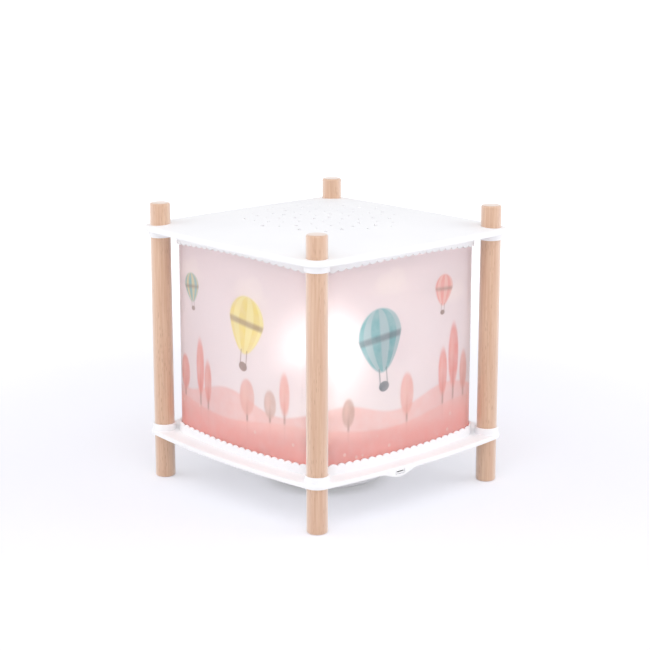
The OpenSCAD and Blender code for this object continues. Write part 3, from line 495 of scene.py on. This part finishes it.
# Nickel-plated steel: bright and a little warm, with soft reflections.
nickel_plate = mottled(
    "nickel_plated_steel", "#EDEDEC", "#F5F5F4", 2 * MM, 0.5 * MM, 0.01 * MM, Metallic=1.0, Roughness=0.45
)
finish_piece(socket, nickel_plate, "lantern", "steel", "charging_socket")


# Under the plate: a lithium cell in a blue sleeve, the control board on two posts, the slide switch, and
# PVC leads that join them.
# Heat-shrunk PVC sleeve: strong blue, glossy, slightly rippled.
battery_sleeve = mottled(
    "shrunk_pvc_sleeve", "#2F5E9E", "#3B70B4", 8 * MM, 2 * MM, 0.05 * MM, Roughness=0.25, IOR=1.53
)
# Black ABS: dark grey with a fine grain.
black_abs = mottled("black_abs", "#242427", "#2E2E31", 6 * MM, 0.4 * MM, 0.02 * MM, Roughness=0.5, IOR=1.5)
# Extruded PVC: even colour, soft gloss.
lead_colours = {
    "red": ("#B3222B", "#C42F36", ("led_lead", "battery_lead", "charging_lead")),
    "blue": ("#23376F", "#2D4482", ("motor_lead",)),
    "yellow": ("#D9B326", "#E6C440", ("switch_lead",)),
}
for colour, (dark, light, leads) in lead_colours.items():
    lead_pvc = mottled(
        colour + "_pvc", dark, light, 5 * MM, 0.5 * MM, 0.01 * MM, Roughness=0.4, IOR=1.53
    )
    dress(lead_pvc, *leads)
dress(battery_sleeve, "battery_cell")
dress(circuit_board, "control_board")
dress(zinc_steel, "board_screws")
dress(black_abs, "slide_switch")


# Housing: a round white ABS bowl under the base plate, with a soft lower edge. Four deep screw holes, the
# switch's slot in its side and a notch for the charging lead.
HOUSING_R = 39 * MM
HOUSING_Z = 4 * MM
HOUSING_ROUND = 4 * MM
HOUSING_WALL = 2 * MM
HOUSING_STEPS = 240
CUT_EDGE = 0.3 * MM
SCREW_BORE_R = 2.3 * MM
SCREW_BORE_TOP = 20 * MM
SCREW_PILLAR_R = 3 * MM
SWITCH_Z = 11 * MM
SWITCH_SLOT = Vector((8 * MM, 8.6 * MM, 3.4 * MM))
NOTCH_Y = -13.5 * MM
NOTCH = Vector((12 * MM, 4.6 * MM, 6.2 * MM))


def turned_ring(r, z, x=0, y=0):
    """A ring of a turned shape about an upright axis."""
    def ring(share):
        angle = math.tau * share
        return x + r * math.cos(angle), y + r * math.sin(angle), z
    return ring


bowl = [turned_ring(0, HOUSING_Z)]
bowl += quarter_round(lambda a: turned_ring(
    HOUSING_R - HOUSING_ROUND + HOUSING_ROUND * math.sin(a),
    HOUSING_Z + HOUSING_ROUND - HOUSING_ROUND * math.cos(a),
), 10)
bowl += [
    turned_ring(HOUSING_R, BASE_Z),
    turned_ring(HOUSING_R - HOUSING_WALL, BASE_Z),
    turned_ring(HOUSING_R - HOUSING_WALL, HOUSING_Z + HOUSING_WALL),
    turned_ring(0, HOUSING_Z + HOUSING_WALL),
]
housing = wrap("housing_bowl", HOUSING_STEPS, bowl)
combine(housing, [
    round_bar(x, y, SCREW_PILLAR_R, HOUSING_Z + HOUSING_WALL - SINK, BASE_Z) for x, y in housing_screw_places
], "UNION")
switch_at = Vector((HOUSING_R, 0, SWITCH_Z))
notch_at = Vector((HOUSING_R, NOTCH_Y, BASE_Z))
combine(housing, [
    round_bar(x, y, SCREW_BORE_R, HOUSING_Z - SINK, SCREW_BORE_TOP) for x, y in housing_screw_places
] + [
    block(switch_at - SWITCH_SLOT / 2, switch_at + SWITCH_SLOT / 2, CUT_EDGE),
    block(notch_at - NOTCH / 2, notch_at + NOTCH / 2, CUT_EDGE),
], "DIFFERENCE")
finish_piece(housing, white_abs, "lantern", "white_plastic", "housing")
dress(zinc_steel, "housing_screws")


# Switch knob: a black ABS pad with five ribs for the finger, on a stem that goes through the housing's
# slot into the switch and slides along it.
KNOB_PAD = 1.1 * MM
KNOB_EDGE = 0.3 * MM
KNOB_STEM_HALF = 2 * MM
KNOB_STEM_ROOM = 0.1 * MM
KNOB_STEM_EDGE = 0.1 * MM
KNOB_RIBS = 5
KNOB_RIB_R = 0.3 * MM
KNOB_RIB_PITCH = 1 * MM
knob_low, knob_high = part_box("switch_knob")
pad_x = knob_high.x - KNOB_RIB_R
knob = block(
    Vector((pad_x - KNOB_PAD, knob_low.y, knob_low.z)), Vector((pad_x, knob_high.y, knob_high.z)), KNOB_EDGE
)
knob.name = "ribbed_switch_knob"
combine(knob, [block(
    Vector((knob_low.x, -KNOB_STEM_HALF, knob_low.z + KNOB_STEM_ROOM)),
    Vector((pad_x - KNOB_PAD / 2, KNOB_STEM_HALF, knob_high.z - KNOB_STEM_ROOM)),
    KNOB_STEM_EDGE,
)], "UNION")
combine(knob, [
    round_bar(
        pad_x, (k - KNOB_RIBS // 2) * KNOB_RIB_PITCH, KNOB_RIB_R,
        knob_low.z + KNOB_RIB_R, knob_high.z - KNOB_RIB_R,
    )
    for k in range(KNOB_RIBS)
], "UNION")
finish_piece(knob, black_abs, "switch", "black_plastic", "switch_knob")


# Outer screen: a tube of frosted polypropylene film, 0.6 mm thick, printed in soft colours and held in
# the grooves of base and roof. The lamp inside shows through it as a soft glow.
screen_low, screen_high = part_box("outer_screen")
FILM_Z = screen_low.z
FILM_H = screen_high.z - screen_low.z
screen = band("printed_screen", 0, -SCREEN_T, screen_low.z, screen_high.z)

# Frosted polypropylene, screen printed: the frost spreads the lamp's light and softens every outline, and
# the inks lie on it as thin as a wash. A faint painted glow in the print's colours, an emission, stands in
# for the lamp's light that is spread in the film.
# The picture goes round twice; it is laid out in millimetres along the film from the back post and up from
# the film's foot.
film_print, tree, shader = new_material(
    "frosted_printed_polypropylene",
    Roughness=0.38, IOR=1.49, Transmission_Weight=0.5, Emission_Strength=0.04,
)
SOFT = 0.9 * MM
PICTURE = screen_round / 2
film_place = add(tree, "TexCoord").node.outputs
height = add(tree, "SeparateXYZ", {"Vector": film_place["Object"]}).node.outputs["Z"]
height = add(tree, "Math", {0: height, 1: FILM_Z}, operation="SUBTRACT")
along = add(tree, "SeparateXYZ", {"Vector": film_place["UV"]}).node.outputs["X"]
along = add(tree, "Math", {0: along, 1: screen_round}, operation="MULTIPLY")
along = add(tree, "Math", {0: along, 1: PICTURE}, operation="MODULO")
flat = add(tree, "CombineXYZ", {"X": along, "Y": height})
wash = add(tree, "TexNoise", {"Vector": flat, "Scale": 1 / (8 * MM), "Detail": 4.0})
wash = add(tree, "MapRange", {
    "Value": wash, "From Min": 0.3, "From Max": 0.7, "To Min": 0.72, "To Max": 1.0
})


def painted(under, mask, colour):
    """Lays an ink over the picture so far, a little uneven like a wash. The colour is hex or a link."""
    thick = add(tree, "Math", {0: mask, 1: wash}, operation="MULTIPLY")
    ink = linear(colour) if isinstance(colour, str) else colour
    return add(tree, "MixRGB", {"Fac": thick, "Color1": under, "Color2": ink})


def spot(u, z, wide, high, lean=0.0, soft=SOFT, cover=1.0):
    """Where an ellipse of ink lies, with a soft edge."""
    local = add(tree, "Mapping", {
        "Vector": flat, "Location": (u, z, 0), "Rotation": (0, 0, lean), "Scale": (wide, high, 1)
    }, vector_type="TEXTURE")
    away = add(tree, "VectorMath", {0: local}, operation="LENGTH").node.outputs["Value"]
    edge = soft / min(wide, high)
    return add(tree, "MapRange", {
        "Value": away, "From Min": 1 + edge, "From Max": 1 - edge, "To Max": cover
    }, interpolation_type="SMOOTHSTEP")


# Sky: rose at the top, nearly white lower down, with pale clouds.
sky = add(tree, "ValToRGB", {
    "Fac": add(tree, "Math", {0: height, 1: FILM_H}, operation="DIVIDE")
})
for element, colour, at in zip(sky.node.color_ramp.elements, ("#F4EEF0", "#F2E5E7"), (0.25, 1.0)):
    element.color = linear(colour)
    element.position = at
paint = sky
CLOUDS = ((52, 106, 1.0), (108, 92, 0.8), (150, 104, 0.9), (208, 99, 1.1))
PUFFS = ((0, 0, 13, 4.5), (-5, 3.5, 6, 5), (4, 5, 7, 6.5))
for u, z, size in CLOUDS:
    for du, dz, wide, high in PUFFS:
        puff = spot(
            (u + size * du) * MM, (z + size * dz) * MM, size * wide * MM, size * high * MM,
            soft=2.5 * MM, cover=0.6,
        )
        paint = painted(paint, puff, "#FAF0EE")

# Hills: a pale far row and the near ground, which deepens to coral at the film's foot.
FAR_HILL = (35 * MM, 4.5 * MM, 3, 0.6)
NEAR_HILL = (24 * MM, 3.5 * MM, 2, 2.2)


def hill_height(hill, u):
    """Height of a row of hills at a place along the picture."""
    middle, swing, waves, start = hill
    return middle + swing * math.sin(math.tau * waves * u / PICTURE + start)


def hill_mask(hill):
    """The same row of hills as a mask on the print."""
    middle, swing, waves, start = hill
    angle = add(tree, "Math", {0: along, 1: math.tau * waves / PICTURE, 2: start}, operation="MULTIPLY_ADD")
    wave = add(tree, "Math", {0: angle}, operation="SINE")
    top = add(tree, "Math", {0: wave, 1: swing, 2: middle}, operation="MULTIPLY_ADD")
    below = add(tree, "Math", {0: top, 1: height}, operation="SUBTRACT")
    return add(tree, "MapRange", {"Value": below, "From Min": -SOFT, "From Max": SOFT})


paint = painted(paint, hill_mask(FAR_HILL), "#F6D5D2")

# Trees stand on the near hill: a trunk, a crown, and a lighter side to the crown.
TREES = (
    (20, 9, 20, "#CDB1A7"), (66, 11, 30, "#EFBDB5"), (98, 8, 34, "#F0A79E"), (108, 9.5, 46, "#EFA097"),
    (118, 7, 28, "#E7ADA3"), (143, 10, 26, "#EDA9A1"), (160, 8, 40, "#F0A399"), (168, 7, 30, "#ECABA2"),
    (206, 13, 26, "#EDC0B8"), (226, 10, 20, "#DBC0B7"), (238, 8, 30, "#F2BCB3"),
)
TRUNK_SINK = 2 * MM
for u, wide, tall, colour in TREES:
    foot = hill_height(NEAR_HILL, u * MM) - TRUNK_SINK
    trunk = spot(u * MM, foot + 0.3 * tall * MM, 0.7 * MM, 0.35 * tall * MM, cover=0.8)
    paint = painted(paint, trunk, "#A68B80")
    crown_z = foot + 0.66 * tall * MM
    paint = painted(paint, spot(u * MM, crown_z, wide / 2 * MM, 0.42 * tall * MM, cover=0.9), colour)
    paint = painted(paint, spot(
        (u - 0.13 * wide) * MM, crown_z + 0.06 * tall * MM, 0.22 * wide * MM, 0.24 * tall * MM,
        soft=1.5 * MM, cover=0.45,
    ), "#F9DAD3")

ground = add(tree, "ValToRGB", {
    "Fac": add(tree, "MapRange", {"Value": height, "From Max": NEAR_HILL[0] + NEAR_HILL[1]})
})
for element, colour, at in zip(ground.node.color_ramp.elements, ("#FBADA5", "#F7D2CD"), (0.1, 1.0)):
    element.color = linear(colour)
    element.position = at
near = hill_mask(NEAR_HILL)
paint = painted(paint, near, ground)

# Small flowers in the grass.
FLOWER_PITCH = 9 * MM
flowers = add(tree, "TexVoronoi", {"Vector": flat, "Scale": 1 / FLOWER_PITCH})
flowers = add(tree, "MapRange", {"Value": flowers, "From Min": 0.16, "From Max": 0.08, "To Max": 0.6})
flowers = add(tree, "Math", {0: flowers, 1: near}, operation="MULTIPLY")
paint = painted(paint, flowers, "#FBE9E2")


def balloon(under, u, z, r, lean, cloth, gore, trim):
    """A hot-air balloon: an envelope of striped gores that narrows to its mouth, a belt, two ropes and a
    basket."""
    gores = 7.0
    lower_stretch = 1.35
    mouth_taper = 0.22
    belt_drop, belt_half = 0.1, 0.12
    rope_at, rope_drop, rope_half = 0.17, 1.5, 0.3
    basket_drop, basket_wide, basket_high = 1.9, 0.24, 0.19
    local = add(tree, "Mapping", {
        "Vector": flat, "Location": (u * MM, z * MM, 0), "Rotation": (0, 0, lean),
        "Scale": (r * MM, r * MM, 1),
    }, vector_type="TEXTURE")
    x, y, _ = add(tree, "SeparateXYZ", {"Vector": local}).node.outputs
    edge = SOFT / (r * MM)
    low = add(tree, "Math", {0: y, 1: 0.0}, operation="MINIMUM")
    round_y = add(tree, "Math", {0: low, 1: 1 / lower_stretch - 1, 2: y}, operation="MULTIPLY_ADD")
    narrow = add(tree, "Math", {0: low, 1: mouth_taper, 2: 1.0}, operation="MULTIPLY_ADD")
    round_x = add(tree, "Math", {0: x, 1: narrow}, operation="DIVIDE")
    away = add(tree, "VectorMath", {
        0: add(tree, "CombineXYZ", {"X": round_x, "Y": round_y})
    }, operation="LENGTH").node.outputs["Value"]
    envelope = add(tree, "MapRange", {
        "Value": away, "From Min": 1 + edge, "From Max": 1 - edge, "To Max": 0.95
    }, interpolation_type="SMOOTHSTEP")
    # Longitude on the envelope, which the gores follow
    chord = add(tree, "Math", {0: round_y, 1: round_y}, operation="MULTIPLY")
    chord = add(tree, "Math", {0: 1.0, 1: chord}, operation="SUBTRACT")
    chord = add(tree, "Math", {0: chord, 1: 0.01}, operation="MAXIMUM")
    chord = add(tree, "Math", {0: chord}, operation="SQRT")
    longitude = add(tree, "Math", {0: round_x, 1: chord}, operation="DIVIDE")
    longitude = add(tree, "Math", {0: longitude}, operation="ARCSINE")
    stripe = add(tree, "Math", {0: longitude, 1: gores}, operation="MULTIPLY")
    stripe = add(tree, "Math", {0: stripe}, operation="SINE")
    stripe = add(tree, "MapRange", {"Value": stripe, "From Min": -0.3, "From Max": 0.3, "To Max": 0.9})
    stripe = add(tree, "Math", {0: stripe, 1: envelope}, operation="MULTIPLY")
    # Belt round the widest part
    belt = add(tree, "Math", {0: y, 1: belt_drop}, operation="ADD")
    belt = add(tree, "Math", {0: belt}, operation="ABSOLUTE")
    belt = add(tree, "MapRange", {
        "Value": belt, "From Min": belt_half + edge, "From Max": belt_half - edge, "To Max": 0.75
    })
    belt = add(tree, "Math", {0: belt, 1: envelope}, operation="MULTIPLY")
    # Ropes from the mouth to the basket
    rope = add(tree, "Math", {0: x}, operation="ABSOLUTE")
    rope = add(tree, "Math", {0: rope, 1: rope_at}, operation="SUBTRACT")
    rope = add(tree, "Math", {0: rope}, operation="ABSOLUTE")
    rope = add(tree, "MapRange", {"Value": rope, "From Min": 0.05, "From Max": 0.01, "To Max": 0.7})
    hang = add(tree, "Math", {0: y, 1: rope_drop}, operation="ADD")
    hang = add(tree, "Math", {0: hang}, operation="ABSOLUTE")
    hang = add(tree, "MapRange", {
        "Value": hang, "From Min": rope_half + 0.02, "From Max": rope_half - 0.02
    })
    rope = add(tree, "Math", {0: rope, 1: hang}, operation="MULTIPLY")
    down = Vector((math.sin(lean), -math.cos(lean))) * basket_drop * r
    basket = spot(
        (u + down.x) * MM, (z + down.y) * MM, basket_wide * r * MM, basket_high * r * MM, lean, SOFT / 2
    )
    under = painted(under, envelope, cloth)
    under = painted(under, stripe, gore)
    under = painted(under, belt, trim)
    under = painted(under, rope, trim)
    return painted(under, basket, trim)


paint = balloon(paint, 44, 78, 16.5, 0.1, "#74B7BB", "#C4D2D6", "#7F8890")
paint = balloon(paint, 98, 99, 8, -0.08, "#F0A69C", "#F8D5CE", "#A58D84")
paint = balloon(paint, 206, 84, 15, -0.12, "#F4E48A", "#F9F1BE", "#A58D84")
paint = balloon(paint, 152, 97, 7.5, 0.1, "#8FC3C5", "#F2DDB0", "#A58D84")

# Painted shade: the print is darkened a little towards the side posts, half a picture away from the post in
# front.
SHADE_FROM = 70 * MM
SHADE_TO = 5 * MM
side = add(tree, "Math", {0: along, 1: PICTURE / 2}, operation="SUBTRACT")
side = add(tree, "Math", {0: side}, operation="ABSOLUTE")
side = add(tree, "MapRange", {
    "Value": side, "From Min": SHADE_FROM, "From Max": SHADE_TO
}, interpolation_type="SMOOTHSTEP")
# The painted shade multiplies the print towards the side posts.
paint = add(tree, "MixRGB", {
    "Fac": side, "Color1": paint, "Color2": linear("#F9F7F7")
}, blend_type="MULTIPLY")
tree.links.new(paint, shader.inputs["Base Color"])
# Painted glow: the print's colours are also given as a faint emission, for the lamp's light spread in the
# film.
tree.links.new(paint, shader.inputs["Emission Color"])
FROST = 0.5 * MM
frost = add(tree, "TexNoise", {"Vector": film_place["Object"], "Scale": 1 / FROST, "Detail": 2.0})
frost = add(tree, "Bump", {"Height": frost, "Strength": 0.15, "Distance": 0.02 * MM})
tree.links.new(frost, shader.inputs["Normal"])
finish_piece(screen, film_print, "lantern", "screen_film", "outer_screen")


# Roof: one white ABS moulding, domed like a pillow, with a lobe and a collar for each post, a hanging
# scalloped lip and a field of star-shaped holes that throw stars on the ceiling.
ROOF_Z = 158.5 * MM
ROOF_TOP = 162 * MM
ROOF_LOBE_R = 9.5 * MM
ROOF_BULGE = 2.5 * MM
ROOF_HALF = 84 * MM
DOME_RISE = 8 * MM
DOME_WALL = 2.2 * MM
DOME_STEPS = 36
ROOF_COLLAR_LOW = 154.7 * MM
ROOF_LIP_H = 3.5 * MM
ROOF_LIP_ARCH = 3.3 * MM
RIM_EDGE = 0.8 * MM
ROOF_STEPS = 480
roof_at, _ = soft_square(POST_AT, ROOF_LOBE_R, ROOF_BULGE)


def pillow(x, y):
    """Height of the roof's upper face."""
    return ROOF_TOP + DOME_RISE * (1 - (x / ROOF_HALF) ** 2) * (1 - (y / ROOF_HALF) ** 2)


def dome_ring(size, inset, drop):
    """A ring of the domed face, at a share of the way from its middle to the rim."""
    def ring(share):
        point, normal = roof_at(share)
        place = size * (point - inset * normal)
        return place.x, place.y, pillow(place.x, place.y) - drop
    return ring


def rim_ring(inset, z):
    """A ring of the rim's lower edge."""
    def ring(share):
        point, normal = roof_at(share)
        place = point - inset * normal
        return place.x, place.y, z
    return ring


def hollow_ring(size):
    """A ring of the hollow under the dome, inside the film's rib."""
    def ring(share):
        point, normal = screen_at(share)
        place = size * (point + rib_inner * normal)
        return place.x, place.y, pillow(place.x, place.y) - DOME_WALL
    return ring


roof_rings = [dome_ring(k / DOME_STEPS, RIM_EDGE, 0) for k in range(DOME_STEPS)]
roof_rings += quarter_round(
    lambda a: dome_ring(1, RIM_EDGE * (1 - math.sin(a)), RIM_EDGE * (1 - math.cos(a)))
)
roof_rings += quarter_round(
    lambda a: rim_ring(EDGE - EDGE * math.cos(a), ROOF_Z + EDGE - EDGE * math.sin(a))
)
roof_rings.append(screen_ring(rib_inner, ROOF_Z))
roof_rings += [hollow_ring(1 - k / DOME_STEPS) for k in range(0, DOME_STEPS + 1, 3)]
roof = wrap("domed_roof", ROOF_STEPS, roof_rings)
combine(roof, [scalloped_lip(ROOF_Z, ROOF_Z - ROOF_LIP_H, ROOF_LIP_ARCH)], "UNION")
combine(roof, [band("film_rib", rib_outer, rib_inner, ROOF_Z - RIB_H, ROOF_Z + SINK)], "UNION")
combine(roof, [
    round_bar(x, y, COLLAR_R, ROOF_COLLAR_LOW, ROOF_Z + SINK, ROOF_COLLAR_LOW) for x, y in post_places
], "UNION")
combine(roof, [
    round_bar(x, y, POST_HOLE_R, ROOF_COLLAR_LOW - SINK, ROOF_TOP + DOME_RISE) for x, y in post_places
], "DIFFERENCE")

# The stars lie on a spiral that spreads them evenly, in sizes and turns that follow no row.
STAR_COUNT = 78
STAR_FIELD_R = 50 * MM
STAR_R = 1.9 * MM
STAR_SIZES = (1, 0.5, 0.62, 0.72, 0.8)
STAR_TIPS = 5
STAR_INNER = 0.45
STAR_TURN = math.radians(29)
GOLDEN_ANGLE = math.radians(137.508)
bpy.ops.object.select_all(action="DESELECT")
bpy.ops.mesh.primitive_circle_add(vertices=2 * STAR_TIPS, radius=1, fill_type="NGON")
star = bpy.context.object
for inner in list(star.data.vertices)[1::2]:
    inner.co *= STAR_INNER
bpy.ops.object.mode_set(mode="EDIT")
bpy.ops.mesh.select_all(action="SELECT")
bpy.ops.mesh.extrude_region_move(TRANSFORM_OT_translate={"value": (0, 0, 1)})
bpy.ops.mesh.select_all(action="SELECT")
bpy.ops.mesh.normals_make_consistent(inside=False)
bpy.ops.object.mode_set(mode="OBJECT")
stars = []
for i in range(STAR_COUNT):
    cutter = star.copy()
    cutter.data = star.data.copy()
    bpy.context.collection.objects.link(cutter)
    reach = STAR_FIELD_R * math.sqrt((i + 0.5) / STAR_COUNT)
    size = STAR_R * STAR_SIZES[i % len(STAR_SIZES)]
    cutter.location = (reach * math.cos(i * GOLDEN_ANGLE), reach * math.sin(i * GOLDEN_ANGLE), ROOF_Z + SINK)
    cutter.rotation_euler = (0, 0, i * (GOLDEN_ANGLE + STAR_TURN) - math.pi / 2)
    cutter.scale = (size, size, ROOF_TOP + DOME_RISE - ROOF_Z)
    stars.append(cutter)
bpy.data.objects.remove(star)
combine(roof, stars, "DIFFERENCE")
finish_piece(roof, white_abs, "lantern", "white_plastic", "roof_shell")


# Posts: four turned beech dowels with rounded ends, pressed through the collars of base and roof, which
# they carry. They stand on the floor and are the lantern's feet.
POST_R = 6.35 * MM
POST_ROUND = 1.3 * MM
POST_NAMES = {(1, -1): "front", (1, 1): "right", (-1, 1): "back", (-1, -1): "left"}

# Beech, turned and oiled: pale pinkish brown with growth layers along the post, fine fibres, and the short
# dark flecks of its rays. The flecks are drawn a little coarser than they are, so that they show. The oil
# is a thin coat, and the fine fibres give a pale sheen at the edges.
beech, tree, shader = new_material(
    "turned_beech", IOR=1.5, Coat_Weight=1.0, Coat_Roughness=0.35, Sheen_Weight=1.0, Sheen_Roughness=0.5
)
wood_place = add(tree, "TexCoord").node.outputs["Object"]
FIBRE = Vector((0.9, 0.9, 30)) * MM
FLECK = Vector((0.9, 0.9, 6)) * MM
CLUSTER = Vector((5, 5, 35)) * MM
LAYER = 2.2 * MM
fibres, flecks, clusters = [
    add(tree, "Mapping", {"Vector": wood_place, "Scale": [1 / side for side in size]})
    for size in (FIBRE, FLECK, CLUSTER)
]
fibres = add(tree, "TexNoise", {"Vector": fibres, "Scale": 1.0, "Detail": 4.0})
flecks = add(tree, "TexVoronoi", {"Vector": flecks, "Scale": 1.0})
flecks = add(tree, "MapRange", {"Value": flecks, "From Min": 0.34, "From Max": 0.12})
clusters = add(tree, "TexNoise", {"Vector": clusters, "Scale": 1.0, "Detail": 2.0})
clusters = add(tree, "MapRange", {"Value": clusters, "From Min": 0.4, "From Max": 0.62})
flecks = add(tree, "Math", {0: flecks, 1: clusters}, operation="MULTIPLY")
layers = add(tree, "TexWave", {
    "Vector": wood_place, "Scale": math.tau / (20 * LAYER), "Distortion": 2.5, "Detail": 2.0,
    "Detail Scale": 0.4,
}).node.outputs["Fac"]
wood = add(tree, "ValToRGB", {"Fac": fibres})
for element, colour, at in zip(wood.node.color_ramp.elements, ("#CEA182", "#DEBA9C"), (0.3, 0.7)):
    element.color = linear(colour)
    element.position = at
layers = add(tree, "MapRange", {"Value": layers, "To Max": 0.35})
wood = add(tree, "MixRGB", {"Fac": layers, "Color1": wood, "Color2": linear("#CC9F84")})
fleck_cover = add(tree, "Math", {0: flecks, 1: 0.6}, operation="MULTIPLY")
wood = add(tree, "MixRGB", {"Fac": fleck_cover, "Color1": wood, "Color2": linear("#A9795C")})
tree.links.new(wood, shader.inputs["Base Color"])
roughness = add(tree, "MapRange", {"Value": fibres, "To Min": 0.4, "To Max": 0.56})
tree.links.new(roughness, shader.inputs["Roughness"])
relief = add(tree, "Math", {0: fibres, 1: flecks}, operation="SUBTRACT")
relief = add(tree, "Bump", {"Height": relief, "Strength": 0.25, "Distance": 0.05 * MM})
tree.links.new(relief, shader.inputs["Normal"])

for (side_x, side_y), name in POST_NAMES.items():
    low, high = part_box("post_" + name)
    x, y = side_x * POST_AT, side_y * POST_AT
    straight = POST_R - POST_ROUND
    post_rings = [turned_ring(0, low.z, x, y)]
    post_rings += quarter_round(lambda a: turned_ring(
        straight + POST_ROUND * math.sin(a), low.z + POST_ROUND * (1 - math.cos(a)), x, y
    ), 6)
    post_rings += quarter_round(lambda a: turned_ring(
        straight + POST_ROUND * math.cos(a), high.z - POST_ROUND * (1 - math.sin(a)), x, y
    ), 6)
    post_rings.append(turned_ring(0, high.z, x, y))
    dowel = wrap("turned_post_" + name, ROUND_STEPS, post_rings)
    finish_piece(dowel, beech, "lantern", "beech", "post_" + name)


# Photo stand: a white floor and surround, softboxes at both sides and above the camera.
CAMERA_AZIMUTH = math.radians(47.54)
CAMERA_ELEVATION = math.radians(13.55)
CAMERA_DISTANCE = 1.1146
CAMERA_AIM = Vector((0, 0, 0.0993))
SENSOR = 36
FOCAL_PIXELS = 1787.3
FRAME_PIXELS = 650
scene = bpy.context.scene
scene.view_settings.view_transform = "Standard"
right = Vector((math.cos(CAMERA_AZIMUTH), math.sin(CAMERA_AZIMUTH), 0))
nearer = Vector((math.sin(CAMERA_AZIMUTH), -math.cos(CAMERA_AZIMUTH), 0))
up = Vector((0, 0, 1))
backwards = math.cos(CAMERA_ELEVATION) * nearer + math.sin(CAMERA_ELEVATION) * up
camera_data = bpy.data.cameras.new("camera")
camera_data.sensor_width = SENSOR
camera_data.lens = FOCAL_PIXELS * SENSOR / FRAME_PIXELS
camera = bpy.data.objects.new("camera", camera_data)
scene.collection.objects.link(camera)
camera.location = CAMERA_AIM + CAMERA_DISTANCE * backwards
camera.rotation_euler = (-backwards).to_track_quat("-Z", "Y").to_euler()
scene.camera = camera

# White paper: seen directly or in a reflection it is lifted towards white, more so away from the lantern,
# whose shadow it keeps.
FLOOR_LIFT = 0.33
FLOOR_WHITE_FROM = 0.25
FLOOR_WHITE_AT = 0.9


def seen_rays(tree):
    """1 where the camera sees a thing directly, in a reflection or through the film, otherwise 0."""
    rays = add(tree, "LightPath").node.outputs
    seen = rays["Is Camera Ray"]
    for ray in ("Is Glossy Ray", "Is Transmission Ray"):
        seen = add(tree, "Math", {0: seen, 1: rays[ray]}, operation="MAXIMUM")
    return seen


bpy.ops.object.select_all(action="DESELECT")
bpy.ops.mesh.primitive_plane_add(size=30)
floor = bpy.context.object
floor.name = "floor"
floor_paper, tree, shader = new_material("white_paper", Roughness=0.9, Emission_Color=linear("#FFFFFF"))
seen = seen_rays(tree)
shade = add(tree, "MixRGB", {"Fac": seen, "Color1": linear("#FDFDFF"), "Color2": linear("#D2D2DB")})
tree.links.new(shade, shader.inputs["Base Color"])
away = add(tree, "TexCoord").node.outputs["Object"]
away = add(tree, "VectorMath", {0: away}, operation="LENGTH").node.outputs["Value"]
lift = add(tree, "MapRange", {
    "Value": away, "From Min": FLOOR_WHITE_FROM, "From Max": FLOOR_WHITE_AT,
    "To Min": FLOOR_LIFT, "To Max": 1.0,
}, interpolation_type="SMOOTHSTEP")
lift = add(tree, "Math", {0: lift, 1: seen}, operation="MULTIPLY")
tree.links.new(lift, shader.inputs["Emission Strength"])
floor.data.materials.append(floor_paper)

# The surround is white to the eye and lights the lantern at a plain level.
SURROUND_LIGHT = 0.62
world = bpy.data.worlds.new("white_surround")
scene.world = world
world.use_nodes = True
tree = world.node_tree
strength = add(tree, "MapRange", {"Value": seen_rays(tree), "To Min": SURROUND_LIGHT, "To Max": 1.0})
background = tree.nodes["Background"]
background.inputs["Color"].default_value = linear("#FDFDFE")
tree.links.new(strength, background.inputs["Strength"])

SOFTBOX_SIZE = 1.1
SOFTBOXES = (
    ("left_softbox", -1.15 * right + 0.6 * up, 4.2),
    ("right_softbox", 1.15 * right + 0.6 * up, 4.7),
    ("front_softbox", 0.9 * nearer + 1.1 * up, 6.5),
)
for name, place, watts in SOFTBOXES:
    softbox_light = bpy.data.lights.new(name, "AREA")
    softbox_light.size = SOFTBOX_SIZE
    softbox_light.energy = watts
    softbox = bpy.data.objects.new(name, softbox_light)
    scene.collection.objects.link(softbox)
    softbox.location = place
    softbox.rotation_euler = (CAMERA_AIM - place).to_track_quat("-Z", "Y").to_euler()
